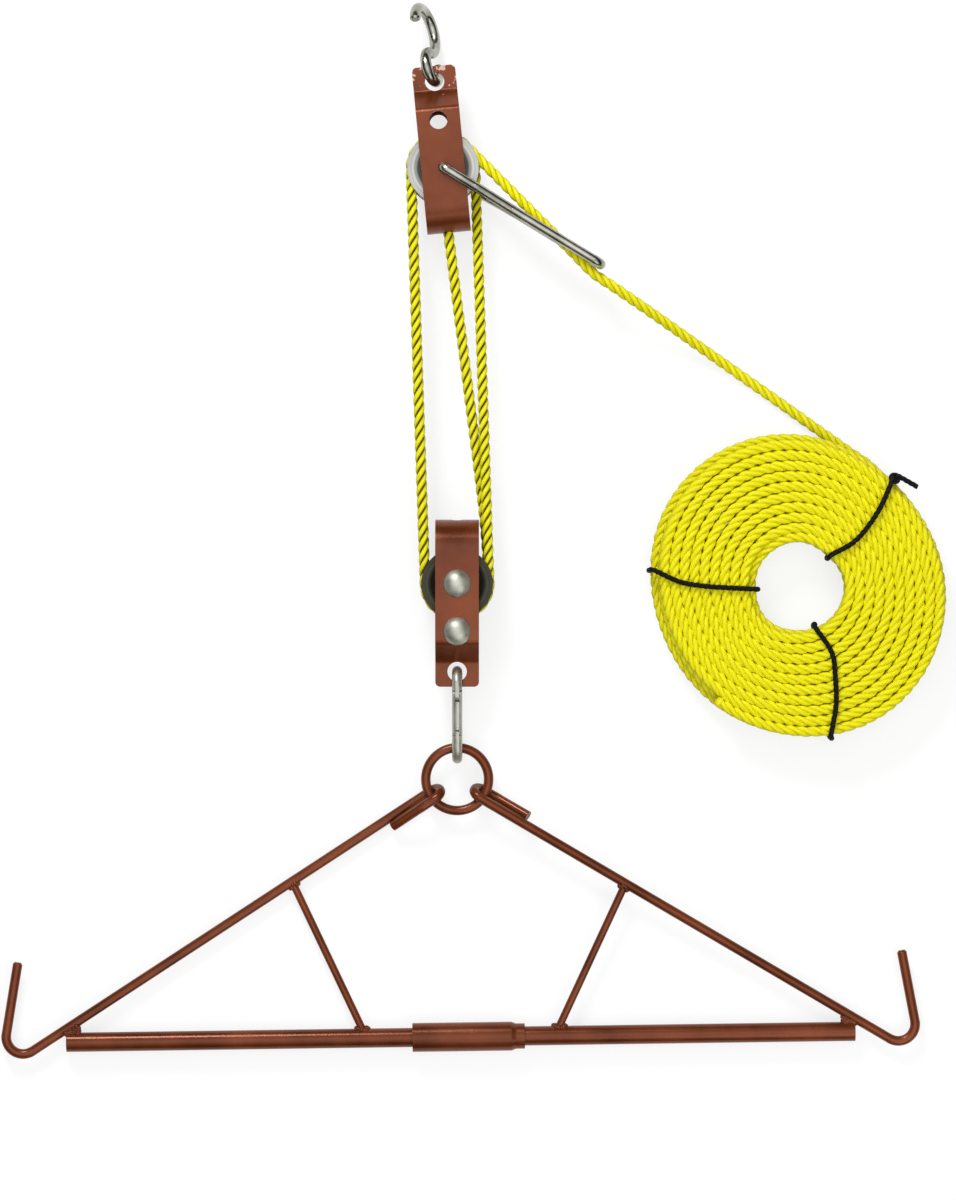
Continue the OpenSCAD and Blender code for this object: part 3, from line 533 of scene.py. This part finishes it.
def makeStrandTree():
    # in: a line of edges with its length so far in ropeS; out: strands laid round it
    tree = bpy.data.node_groups.new("laidStrands", "GeometryNodeTree")
    face = tree.interface
    face.new_socket("Geometry", in_out="INPUT", socket_type="NodeSocketGeometry")
    for label, kind in (
        ("Strands", "NodeSocketInt"), ("Strand Radius", "NodeSocketFloat"), ("Helix Radius", "NodeSocketFloat"),
        ("Lay Length", "NodeSocketFloat"), ("Ring Step", "NodeSocketFloat"), ("Sides", "NodeSocketInt"),
        ("Yarn Lay", "NodeSocketFloat"), ("CreaseShade", "NodeSocketFloat"), ("Finish", "NodeSocketMaterial"),
    ):
        face.new_socket(label, in_out="INPUT", socket_type=kind)
    face.new_socket("Geometry", in_out="OUTPUT", socket_type="NodeSocketGeometry")
    start = addNode(tree, "NodeGroupInput")
    end = addNode(tree, "NodeGroupOutput")
    link = tree.links.new

    line = addNode(tree, "GeometryNodeMeshToCurve")
    link(start.outputs["Geometry"], line.inputs["Mesh"])
    rings = addNode(tree, "GeometryNodeResampleCurve", mode="LENGTH")
    link(line.outputs[0], rings.inputs["Curve"])
    link(start.outputs["Ring Step"], rings.inputs["Length"])
    upright = addNode(tree, "GeometryNodeSetCurveNormal", mode="Z_UP")
    link(rings.outputs[0], upright.inputs["Curve"])
    copies = addNode(tree, "GeometryNodeDuplicateElements", domain="SPLINE")
    link(upright.outputs[0], copies.inputs["Geometry"])
    link(start.outputs["Strands"], copies.inputs["Amount"])

    share = numberNode(tree, "DIVIDE", copies.outputs["Duplicate Index"], start.outputs["Strands"])
    turns = numberNode(tree, "DIVIDE", namedValue(tree, "ropeS"), start.outputs["Lay Length"])
    angle = numberNode(tree, "MULTIPLY", numberNode(tree, "ADD", share, turns), math.tau)
    across = addNode(tree, "GeometryNodeInputNormal").outputs[0]
    along = addNode(tree, "GeometryNodeInputTangent").outputs[0]
    third = vectorNode(tree, "CROSS_PRODUCT", along, across)
    swing = vectorNode(
        tree, "ADD",
        vectorNode(tree, "SCALE", across, scale=numberNode(tree, "COSINE", angle)),
        vectorNode(tree, "SCALE", third, scale=numberNode(tree, "SINE", angle)),
    )
    offset = vectorNode(tree, "SCALE", swing, scale=start.outputs["Helix Radius"])
    place = addNode(tree, "GeometryNodeSetPosition")
    link(copies.outputs["Geometry"], place.inputs["Geometry"])
    link(offset, place.inputs["Offset"])

    ring = addNode(tree, "GeometryNodeCurvePrimitiveCircle", mode="RADIUS")
    link(start.outputs["Sides"], ring.inputs["Resolution"])
    link(start.outputs["Strand Radius"], ring.inputs["Radius"])
    around = addNode(tree, "GeometryNodeSplineParameter").outputs["Factor"]
    profile = storeOn(tree, ring.outputs[0], "ropeAround", around)
    strand = storeOn(tree, place.outputs[0], "ropeStrand", share)
    tube = addNode(tree, "GeometryNodeCurveToMesh")
    link(strand, tube.inputs["Curve"])
    link(profile, tube.inputs["Profile Curve"])
    tube.inputs["Fill Caps"].default_value = True

    # yarns run round each strand against the lay
    yarnTurns = numberNode(tree, "DIVIDE", namedValue(tree, "ropeS"), start.outputs["Yarn Lay"])
    yarnShare = numberNode(tree, "SUBTRACT", namedValue(tree, "ropeAround"), yarnTurns)
    yarnAngle = numberNode(tree, "MULTIPLY", yarnShare, math.tau)
    apart = numberNode(tree, "MULTIPLY", namedValue(tree, "ropeStrand"), strandDrift)
    drift = numberNode(tree, "ADD", yarnTurns, apart)
    fiber = addNode(tree, "ShaderNodeCombineXYZ")
    link(numberNode(tree, "COSINE", yarnAngle), fiber.inputs[0])
    link(numberNode(tree, "SINE", yarnAngle), fiber.inputs[1])
    link(drift, fiber.inputs[2])
    # how deep each point lies towards the rope's line, and the strength of the painted groove shade, both for the
    # material
    near = addNode(tree, "GeometryNodeProximity", target_element="EDGES")
    link(start.outputs["Geometry"], near.inputs[0])
    reach = numberNode(tree, "ADD", start.outputs["Strand Radius"], start.outputs["Helix Radius"])
    depth = numberNode(tree, "DIVIDE", near.outputs["Distance"], reach)
    body = storeOn(tree, tube.outputs[0], "ropeFiber", fiber.outputs[0], "FLOAT_VECTOR")
    body = storeOn(tree, body, "ropeDepth", depth)
    body = storeOn(tree, body, "ropeCrease", start.outputs["CreaseShade"])
    smooth = addNode(tree, "GeometryNodeSetShadeSmooth")
    link(body, smooth.inputs["Geometry"])
    whole = addNode(tree, "GeometryNodeRealizeInstances")
    link(smooth.outputs[0], whole.inputs[0])
    paint = addNode(tree, "GeometryNodeSetMaterial")
    link(whole.outputs[0], paint.inputs["Geometry"])
    link(start.outputs["Finish"], paint.inputs["Material"])
    link(paint.outputs[0], end.inputs[0])
    return tree


strandTree = makeStrandTree()


def runTree(name, tree, mesh, values):
    # the modifier's result as a plain mesh object
    host = bpy.data.objects.new(name + "Line", mesh)
    bpy.context.scene.collection.objects.link(host)
    modifier = host.modifiers.new("nodes", "NODES")
    modifier.node_group = tree
    for socket in tree.interface.items_tree:
        if socket.in_out == "INPUT" and socket.name in values:
            modifier[socket.identifier] = values[socket.name]
    graph = bpy.context.evaluated_depsgraph_get()
    made = bpy.data.meshes.new_from_object(host.evaluated_get(graph), depsgraph=graph)
    made.name = name
    bpy.data.objects.remove(host)
    obj = bpy.data.objects.new(name, made)
    bpy.context.scene.collection.objects.link(obj)
    return obj


def lineMesh(name, points, startS):
    mesh = bpy.data.meshes.new(name + "Path")
    mesh.from_pydata([tuple(p) for p in points], [(i, i + 1) for i in range(len(points) - 1)], [])
    steps = np.linalg.norm(np.diff(np.array(points), axis=0), axis=1)
    along = startS + np.concatenate([[0], np.cumsum(steps)])
    attribute = mesh.attributes.new("ropeS", "FLOAT", "POINT")
    attribute.data.foreach_set("value", along.astype(np.float32))
    return mesh, float(along[-1])


rope = {
    "slot": "rope", "diameter": 9 * mm, "strands": 3, "strandShare": 0.246, "lay": 28 * mm, "yarnLay": 34 * mm,
    "ringStep": 2.2 * mm, "sides": 8, "creaseShade": 1.35,  # how dark the painted shade in its grooves is
}


def layRope(name, kind, points, startS, body, replaced):
    strandR = kind["diameter"] * kind["strandShare"]
    mesh, endS = lineMesh(name, points, startS)
    obj = runTree(name, strandTree, mesh, {
        "Strands": kind["strands"],
        "Strand Radius": strandR,
        "Helix Radius": kind["diameter"] / 2 - strandR,
        "Lay Length": kind["lay"],
        "Ring Step": kind["ringStep"],
        "Sides": kind["sides"],
        "Yarn Lay": kind["yarnLay"],
        "CreaseShade": kind["creaseShade"],
        "Finish": finish[kind["slot"]],
    })
    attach(obj, body)
    if replaced:
        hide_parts(*replaced)
    return obj, endS


def arcPoints(centre, z, fromDeg, toDeg):
    radius, count = reeving["pitchR"], reeving["arcSteps"]
    turns = [math.radians(fromDeg + (toDeg - fromDeg) * i / count) for i in range(count + 1)]
    return [Vector((centre.x + radius * math.cos(t), centre.y + radius * math.sin(t), z)) for t in turns]


def smoothLine(points, perSpan=8):
    # a Catmull-Rom curve through given points
    p = [2 * points[0] - points[1], *points, 2 * points[-1] - points[-2]]
    out = []
    for i in range(1, len(p) - 2):
        for k in range(perSpan):
            t = k / perSpan
            out.append(0.5 * (2 * p[i] + (p[i + 1] - p[i - 1]) * t
                              + (2 * p[i - 1] - 5 * p[i] + 4 * p[i + 1] - p[i + 2]) * t * t
                              + (3 * p[i] - p[i - 1] - 3 * p[i + 1] + p[i + 2]) * t ** 3))
    return [*out, points[-1]]


def middle(node):
    low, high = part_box(node)
    return (low + high) / 2


reeving = {
    "pitchR": 26.5 * mm,
    "arcSteps": 48,
    "haulAngle": 45,
    "cornerGap": 0.5 * mm,  # between the first fall and the edge of the lower strap
    "kneeShares": (0.12, 0.48),  # how far the turn at that edge reaches into the falls
    "kneeSteps": 10,
    "liftRange": liftJoint["range_m"][1],
    "liftAxis": Vector(liftJoint["axis"]),
}
topAxle = jointAt["upper_front_turn"]
lowAxle = jointAt["lower_front_turn"]
frontZ = middle("upper_front_sheave").z
rearZ = middle("upper_rear_sheave").z
fallLean = math.degrees(math.atan2(lowAxle.x - topAxle.x, topAxle.y - lowAxle.y))


def kneePoints(a, corner, b):
    # one rounded turn on the way from a to b, and on to b
    before, after = reeving["kneeShares"]
    start, stop = corner.lerp(a, before), corner.lerp(b, after)
    shares = [i / reeving["kneeSteps"] for i in range(reeving["kneeSteps"] + 1)]
    return [*[start * (1 - t) ** 2 + corner * 2 * t * (1 - t) + stop * t ** 2 for t in shares], b]


def makeReeving():
    left = 180 + fallLean
    becket = Vector((middle("becket_knot").x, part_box("rope_fall_1")[1].y, topAxle.z))
    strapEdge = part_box("lower_strap")[1]
    corner = Vector((strapEdge.x + rope["diameter"] / 2 + reeving["cornerGap"], strapEdge.y, rearZ))
    toCorner = (corner - lowAxle).to_2d()
    firstAngle = math.atan2(toCorner.y, toCorner.x) - math.acos(reeving["pitchR"] / toCorner.length)
    lowRear = arcPoints(lowAxle, rearZ, math.degrees(firstAngle), left - 360)
    topRear = arcPoints(topAxle, rearZ, left, fallLean)
    lowFront = arcPoints(lowAxle, frontZ, fallLean, left - 360)
    topFront = arcPoints(topAxle, frontZ, left, reeving["haulAngle"])
    knee = kneePoints(becket, corner, lowRear[0])
    steps = [
        ("ropeFall1", [becket, knee[0]], "upper_block", "rope_fall_1", True),
        ("ropeKnee", knee, "lower_block", None, False),
        ("lowerRearRope", lowRear, "lower_block", "lower_rear_wrap", False),
        ("ropeFall2", [lowRear[-1], topRear[0]], "upper_block", "rope_fall_2", True),
        ("upperRearRope", topRear, "upper_block", "upper_rear_wrap", False),
        ("ropeFall3", [topRear[-1], lowFront[0]], "upper_block", "rope_fall_3", True),
        ("lowerFrontRope", lowFront, "lower_block", "lower_front_wrap", False),
        ("ropeFall4", [lowFront[-1], topFront[0]], "upper_block", "rope_fall_4", True),
        ("upperFrontRope", topFront, "upper_block", "upper_front_wrap", False),
    ]
    along = 0.0
    for name, points, body, node, shortens in steps:
        obj, along = layRope(name, rope, points, along, body, [node] if node else [])
        if shortens:
            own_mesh(obj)
    return topFront[-1], along


haulStart, haulS = makeReeving()
print("rope rove through the blocks:", round(haulS, 3), "m")

coil = {
    "centre": (281.5 * mm, -48.8 * mm),
    "outer": 119.5 * mm,
    "inner": 40.2 * mm,
    "turns": 9.5,  # in each layer
    "layers": 4,
    "climb": 0.5,  # turns from one layer to the next
    "floor": 8.9 * mm,
    "layerStep": 9.2 * mm,
    "startDeg": 55.5,
    "oval": 5.7 * mm,  # how far the outline bulges and flattens
    "ovalDeg": 128,
    "stepsPerTurn": 48,
    "sway": ((3, 2.1, 0.7 * mm), (5, 0.6, 0.4 * mm)),  # lobes, phase and size of its uneven turns
    "ripple": ((5, 1.0, 0.5 * mm), (7, 0.2, 0.35 * mm)),  # the same in height
    "rippleDrift": 60,  # its change of phase per metre of radius
    "calm": 0.5,  # turns at the start over which both grow
}
haulRoute = [
    (24, 297.3, 41.7), (42, 279.3, 41.7), (60, 261.3, 41.7), (78, 243.3, 41.7), (96, 225.3, 41.7),
    (112, 209.3, 41.4), (130, 197.2, 39.5), (150, 183.8, 34), (170, 170.4, 26), (190, 156.9, 17.5),
    (210, 143.3, 10.5), (230, 129.6, 6), (250, 115.7, 4.7), (270, 101.7, 4.6), (290, 87.5, 4.8),
    (310, 73.3, 6), (326, 62, 7.8), (340.1, 52.3, 8.9),
]


def ovalAt(angle):
    return coil["oval"] * math.cos(2 * (angle - math.radians(coil["ovalDeg"])))


def coilPoint(t):
    perLayer = coil["turns"] + coil["climb"]
    layer = min(coil["layers"] - 1, int(t / perLayer))
    s = t - layer * perLayer
    climb = max(0, s - coil["turns"]) / coil["climb"]
    rise = climb * climb * (3 - 2 * climb)  # eased at both ends
    share = min(s, coil["turns"]) / coil["turns"]
    radius = coil["outer"] + (coil["inner"] - coil["outer"]) * (share if layer % 2 == 0 else 1 - share)
    angle = math.radians(coil["startDeg"]) - math.tau * t
    ease = min(1, t / coil["calm"])
    radius += ovalAt(angle) * (radius - coil["inner"]) / (coil["outer"] - coil["inner"])
    for lobes, phase, size in coil["sway"]:
        radius += ease * size * math.sin(lobes * angle + phase)
    z = coil["floor"] + coil["layerStep"] * (layer + rise)
    for lobes, phase, size in coil["ripple"]:
        z += ease * size * (1 + math.sin(lobes * angle + phase + radius * coil["rippleDrift"])) / 2
    x, y = coil["centre"]
    return Vector((x + radius * math.cos(angle), y + radius * math.sin(angle), z))


def coilPoints(first, last):
    count = round((last - first) * coil["stepsPerTurn"])
    return [coilPoint(first + (last - first) * i / count) for i in range(count + 1)]


tie = {
    "slot": "tie", "diameter": 4.5 * mm, "strands": 3, "strandShare": 0.31, "lay": 14 * mm, "yarnLay": 14 * mm,
    "ringStep": 1.4 * mm, "sides": 8, "creaseShade": 0.0,
    "lift": 0.9 * mm,  # over the surface
    "stand": 0.1,  # over the outer turns, in diameters
    "lap": 4 * mm,  # the size of the loop's rounded corners
    # where the corners lie, in laps
    "shoulder": 2.2,
    "heel": (0.4, 1.4),
    "droop": 0.2,
}
tieKnot = {
    "below": 1.8,  # laps below the top
    "radius": 3 * mm,
    "turns": 2,
    "stepsPerTurn": 10,
    "rise": 0.45 * mm,  # per radian
    "start": 6,
    "away": (0.22, -0.975),
    "tail": ((6 * mm, 1.5 * mm), (13 * mm, 0), (19 * mm, 0)),
    "perSpan": 3,
}
tieList = {
    # bow is how far the cord lies to the side, in mm, from the outer edge of the coil to its hole
    "coil_tie_left": {"angle": 178, "bow": (-9, -0.5, 2.5, 3.2, 3.5)},
    "coil_tie_right": {"angle": 48, "bow": (0.8, -5.5, -9, -9, -2.5), "knot": True},
    "coil_tie_front": {"angle": -77, "bow": (-1.5, 7.5, 12, 14, 6)},
}


def makeTie(node, settings):
    # a loop round the coil's section, with its knot and tail on the outer side
    name = "tie" + node.split("_")[-1].capitalize()
    half = tie["diameter"] / 2
    inner = coil["inner"] - rope["diameter"] / 2 - half
    turn = math.radians(settings["angle"])
    outer = coil["outer"] + ovalAt(turn) + rope["diameter"] / 2 + tie["diameter"] * tie["stand"]
    roof = coil["floor"] + coil["layerStep"] * (coil["layers"] - 1) + rope["diameter"] / 2 + half
    out = Vector((math.cos(turn), math.sin(turn), 0))
    side = Vector((-out.y, out.x, 0))
    centre = Vector((*coil["centre"], 0))
    lap, shoulder = tie["lap"], tie["shoulder"] * tie["lap"]
    heelIn, heelUp = (share * lap for share in tie["heel"])
    under = half + tie["lift"]

    def at(r, z, offset=0.0):
        return centre + out * r + side * offset * mm + Vector((0, 0, z))

    bow = settings["bow"]
    last = len(bow) - 1
    top = []
    for i, offset in enumerate(bow):
        droop = tie["droop"] * lap if i in (0, last) else 0
        top.append(at(outer - lap - (outer - inner - 2 * lap) * i / last, roof - droop, offset))
    loop = [
        at((inner + outer) / 2, under), at(outer - shoulder, under, bow[0]), at(outer - heelIn, heelUp, bow[0]),
        at(outer, roof - shoulder, bow[0]), *top,
        at(inner, roof - shoulder, bow[last]), at(inner + heelIn, heelUp, bow[last]),
        at(inner + shoulder, under, bow[last]), at((inner + outer) / 2, under),
    ]
    made = [layRope(name, tie, smoothLine(loop), 0, "upper_block", [node])[0]]
    if settings.get("knot"):
        # two turns round the cord, then a tail that springs away
        hub = at(outer, roof - tieKnot["below"] * lap, bow[0])
        line = []
        for i in range(tieKnot["turns"] * tieKnot["stepsPerTurn"] + 1):
            a = i * math.tau / tieKnot["stepsPerTurn"]
            rise = Vector((0, 0, (a - tieKnot["start"]) * tieKnot["rise"]))
            line.append(hub + (out * math.cos(a) + side * math.sin(a)) * tieKnot["radius"] + rise)
        outward, sideways = tieKnot["away"]
        away = out * outward + side * sideways
        line += [line[-1] + away * reach + Vector((0, 0, up)) for reach, up in tieKnot["tail"]]
        line = smoothLine(line, tieKnot["perSpan"])
        made.append(layRope(name + "Knot", tie, line, 0, "upper_block", [])[0])
    return made


ties = [obj for node, settings in tieList.items() for obj in makeTie(node, settings)]


ropeTip = {
    "length": 5 * mm,
    "sunk": 0.3,  # share of the length inside the rope
    "rings": 6,
    "sides": 14,
    "neck": 0.97,
    "blunt": 0.02,
    "lobes": 3,
    "lobeSize": 0.06,
    "lobeTwist": 4,
    "depth": 0.95,
    "fiberScale": 200,
}


def makeRopeEnd(points):
    # the melted tip of the rope
    rings, n = ropeTip["rings"], ropeTip["sides"]
    along = (points[-1] - points[-2]).normalized()
    across = along.cross(Vector((0, 0, 1))).normalized()
    up = across.cross(along)
    verts, faces = [], []
    for i in range(rings + 1):
        t = i / rings
        taper = math.sqrt(max(ropeTip["blunt"], 1 - t ** 3)) if i else ropeTip["neck"]
        spot = points[-1] + along * (t - ropeTip["sunk"]) * ropeTip["length"]
        for k in range(n):
            a = math.tau * k / n
            wobble = 1 + ropeTip["lobeSize"] * math.sin(ropeTip["lobes"] * a + ropeTip["lobeTwist"] * t)
            radius = rope["diameter"] / 2 * taper * wobble
            verts.append(spot + (across * math.cos(a) + up * math.sin(a)) * radius)
    for i in range(rings):
        for k in range(n):
            faces.append((i * n + k, i * n + (k + 1) % n, (i + 1) * n + (k + 1) % n, (i + 1) * n + k))
    faces += [tuple(range(n))[::-1], tuple(rings * n + k for k in range(n))]
    mesh = bpy.data.meshes.new("ropeTip")
    mesh.from_pydata([tuple(v) for v in verts], [], faces)
    mesh.shade_smooth()
    mesh.materials.append(finish["rope"])
    fiber = np.array([tuple(v * ropeTip["fiberScale"]) for v in verts], np.float32)
    mesh.attributes.new("ropeFiber", "FLOAT_VECTOR", "POINT").data.foreach_set("vector", fiber.ravel())
    depth = np.full(len(verts), ropeTip["depth"], np.float32)
    mesh.attributes.new("ropeDepth", "FLOAT", "POINT").data.foreach_set("value", depth)
    obj = bpy.data.objects.new("ropeTip", mesh)
    bpy.context.scene.collection.objects.link(obj)
    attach(obj, "upper_block")
    return obj


# lighter painted shade in the grooves than in the falls, and fewer faces where they don't show
haulKind = {**rope, "creaseShade": 0.3}
lowerKind = {**rope, "ringStep": 3.8 * mm, "sides": 6, "creaseShade": 0.2}
upperKind = {**rope, "ringStep": 2.9 * mm, "creaseShade": 0.13}


def makeHaulAndCoil():
    haul = smoothLine([haulStart, *[Vector(p) * mm for p in haulRoute], coilPoint(0)])
    half = coil["layers"] / 2 * (coil["turns"] + coil["climb"])
    total = 2 * half - coil["climb"]
    stages = [
        ("haulRope", haulKind, haul, ["haul_line"], haulStart, "object", "taut"),
        ("coilLower", lowerKind, coilPoints(0, half), [], haul[-1], "object", "coiled"),
        ("coilUpper", upperKind, coilPoints(half, total), ["rope_coil"], coilPoint(half), "bare", "coiled"),
    ]
    along = haulS
    for name, kind, points, replaced, leaves, farEnd, lay in stages:
        obj, end = layRope(name, kind, points, along, "upper_block", replaced)
        extras = [*ties, makeRopeEnd(points)] if farEnd == "bare" else []
        along = end
    print("haul line and coil laid:", round(along - haulS, 2), "m")


makeHaulAndCoil()

becketKnot = {
    "size": 0.62,
    "steps": 24,
    "open": (0.1, 0.95),  # where its turn begins and ends
    "shift": 0.2,
    "weave": 3 * mm,
    "lead": 2 * mm,
    "tail": (3 * mm, 2 * mm),  # along the strap and across it
    "startS": -0.12,
    "perSpan": 3,
}


def makeBecketKnot():
    # an overhand knot inside the strap's bend, with the rope's dead end standing out of it
    low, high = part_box("becket_knot")
    heart = (low + high) / 2
    tilt = reeving["liftAxis"]
    across, up = Vector((tilt.y, -tilt.x, 0)), Vector((0, 0, 1))
    reach = becketKnot["size"] * ((high - low).z - rope["diameter"]) / 2
    span = ((high - low).y - rope["diameter"]) / 2
    points = [heart - tilt * (span + becketKnot["lead"])]
    first, last = becketKnot["open"]
    for i in range(becketKnot["steps"] + 1):
        a = math.tau * (first + (last - first) * i / becketKnot["steps"])
        wide = (math.sin(a) + 2 * math.sin(2 * a)) / 2
        tall = (math.cos(a) - 2 * math.cos(2 * a)) / 2
        lengthwise = becketKnot["shift"] * span - math.sin(3 * a) * becketKnot["weave"]
        points.append(heart + (across * wide + up * tall) * reach + tilt * lengthwise)
    tailAlong, tailAcross = becketKnot["tail"]
    points.append(heart + tilt * (span + tailAlong) + across * tailAcross)
    line = smoothLine(points, becketKnot["perSpan"])
    layRope("becketRope", rope, line, becketKnot["startS"], "upper_block", ["becket_knot"])


makeBecketKnot()

weld = {
    "pitch": 1.5 * mm,
    "bead": 2.1 * mm,
    "beadSizes": (0.6, 1.3),
    "beadFineness": 2,
    "wander": 0.6 * mm,
    "spread": 1 * mm,
    "ringSteps": 28,
    "step": 2 * mm,  # between the passes at the end of a tube
    "passes": range(-1, 6),
    "depth": 2.2 * mm,
    "firstSeed": 3,
}


def makeWeldTree():
    # overlapping beads along a line
    tree = bpy.data.node_groups.new("weldBeads", "GeometryNodeTree")
    face = tree.interface
    face.new_socket("Geometry", in_out="INPUT", socket_type="NodeSocketGeometry")
    for label, kind in (("Pitch", "NodeSocketFloat"), ("Bead", "NodeSocketFloat"), ("Wander", "NodeSocketFloat"),
                        ("Seed", "NodeSocketInt"), ("Finish", "NodeSocketMaterial")):
        face.new_socket(label, in_out="INPUT", socket_type=kind)
    face.new_socket("Geometry", in_out="OUTPUT", socket_type="NodeSocketGeometry")
    start = addNode(tree, "NodeGroupInput")
    end = addNode(tree, "NodeGroupOutput")
    link = tree.links.new
    line = addNode(tree, "GeometryNodeMeshToCurve")
    link(start.outputs["Geometry"], line.inputs["Mesh"])
    spots = addNode(tree, "GeometryNodeResampleCurve", mode="LENGTH")
    link(line.outputs[0], spots.inputs["Curve"])
    link(start.outputs["Pitch"], spots.inputs["Length"])
    bead = addNode(tree, "GeometryNodeMeshIcoSphere")
    bead.inputs["Subdivisions"].default_value = weld["beadFineness"]
    link(start.outputs["Bead"], bead.inputs["Radius"])
    size = addNode(tree, "FunctionNodeRandomValue", data_type="FLOAT")
    link(start.outputs["Seed"], size.inputs["Seed"])
    size.inputs[2].default_value, size.inputs[3].default_value = weld["beadSizes"]
    drift = addNode(tree, "FunctionNodeRandomValue", data_type="FLOAT_VECTOR")
    drift.inputs[0].default_value = (-1, -1, -1)
    drift.inputs[1].default_value = (1, 1, 1)
    link(start.outputs["Seed"], drift.inputs["Seed"])
    shift = addNode(tree, "GeometryNodeSetPosition")
    link(spots.outputs[0], shift.inputs["Geometry"])
    link(vectorNode(tree, "SCALE", drift.outputs[0], scale=start.outputs["Wander"]), shift.inputs["Offset"])
    lay = addNode(tree, "GeometryNodeInstanceOnPoints")
    link(shift.outputs[0], lay.inputs["Points"])
    link(bead.outputs["Mesh"], lay.inputs["Instance"])
    link(size.outputs[1], lay.inputs["Scale"])
    whole = addNode(tree, "GeometryNodeRealizeInstances")
    link(lay.outputs[0], whole.inputs[0])
    smooth = addNode(tree, "GeometryNodeSetShadeSmooth")
    link(whole.outputs[0], smooth.inputs["Geometry"])
    paint = addNode(tree, "GeometryNodeSetMaterial")
    link(smooth.outputs[0], paint.inputs["Geometry"])
    link(start.outputs["Finish"], paint.inputs["Material"])
    link(paint.outputs[0], end.inputs[0])
    return tree


gambrel = {
    "ring": Vector((0, -208.275, 15)) * mm,
    "pitch": math.radians(0.805),
    "turn": math.radians(0.8),
    "arms": {
        -1: (Vector((-16.185, -6.04, -8.4)) * mm, Vector((-381.781, -237.497, 0)) * mm),
        1: (Vector((12.61, -11.81, 8.4)) * mm, Vector((381.501, -235.913, 0)) * mm),
    },
    "tubeY": -213.5 * mm, "tubeEnd": 326.5 * mm, "tubeR": 8 * mm, "rodR": 4 * mm, "braceR": 3.2 * mm,
    "braceTop": 138 * mm, "braceFoot": 78 * mm,
}


def toWorld(p):
    lie = Matrix.Rotation(gambrel["turn"], 3, "Z") @ Matrix.Rotation(gambrel["pitch"], 3, "X")
    return gambrel["ring"] + lie @ p


def meetLine(start, along, radius, onPoint, onDir, onRadius):
    # where a round bar that runs from start meets the skin of another round bar
    count = weld["ringSteps"]
    d, axis = along.normalized(), onDir.normalized()
    u = d.orthogonal().normalized()
    v = d.cross(u)
    out = []
    for i in range(count + 1):
        a = math.tau * i / count
        q = start + (u * math.cos(a) + v * math.sin(a)) * radius - onPoint
        m = q - axis * q.dot(axis)
        n = d - axis * d.dot(axis)
        # the nearer of the two points where this line crosses the skin
        aa, bb, cc = n.dot(n), 2 * m.dot(n), m.dot(m) - onRadius ** 2
        t = (-bb - math.sqrt(max(0, bb * bb - 4 * aa * cc))) / (2 * aa)
        out.append(q + onPoint + d * t)
    return out


def wedgeLine(side, z):
    # up and down between the arm and the end of the tube below it
    near, corner = gambrel["arms"][side]
    arm = corner - near
    armHalf = gambrel["rodR"] * arm.length / abs(arm.x)
    low = gambrel["tubeY"] + gambrel["tubeR"] - weld["bead"] / 2
    line = []
    for k in weld["passes"]:
        x = side * gambrel["tubeEnd"] - side * k * weld["step"]
        armLow = near.y + arm.y * (x - near.x) / arm.x - armHalf
        ends = [Vector((x, low, z)), Vector((x, max(low, armLow) + weld["bead"] / 2, z))]
        line += ends if k % 2 else ends[::-1]
    return line


def makeWelds():
    tree = makeWeldTree()
    for side, body, label in ((-1, "left_half", "Left"), (1, "gambrel", "Right")):
        near, corner = gambrel["arms"][side]
        arm = corner - near
        top = near + arm * (side * gambrel["braceTop"] - near.x) / arm.x
        foot = Vector((side * gambrel["braceFoot"], gambrel["tubeY"], 0))
        lines = {
            "BraceTop": meetLine(foot, top - foot, gambrel["braceR"], near, arm, gambrel["rodR"]),
            "BraceFoot": meetLine(top, foot - top, gambrel["braceR"] + weld["spread"],
                                  Vector((0, gambrel["tubeY"], 0)), Vector((1, 0, 0)), gambrel["tubeR"]),
            "TubeEndFront": wedgeLine(side, weld["depth"]),
            "TubeEndRear": wedgeLine(side, -weld["depth"]),
        }
        for seed, (place, line) in enumerate(lines.items(), weld["firstSeed"]):
            name = "weld" + label + place
            mesh, _ = lineMesh(name, [toWorld(p) for p in line], 0)
            obj = runTree(name, tree, mesh, {
                "Pitch": weld["pitch"], "Bead": weld["bead"], "Wander": weld["wander"], "Seed": seed,
                "Finish": finish["paint"],
            })
            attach(obj, body)


makeWelds()
print("knot and welds made")
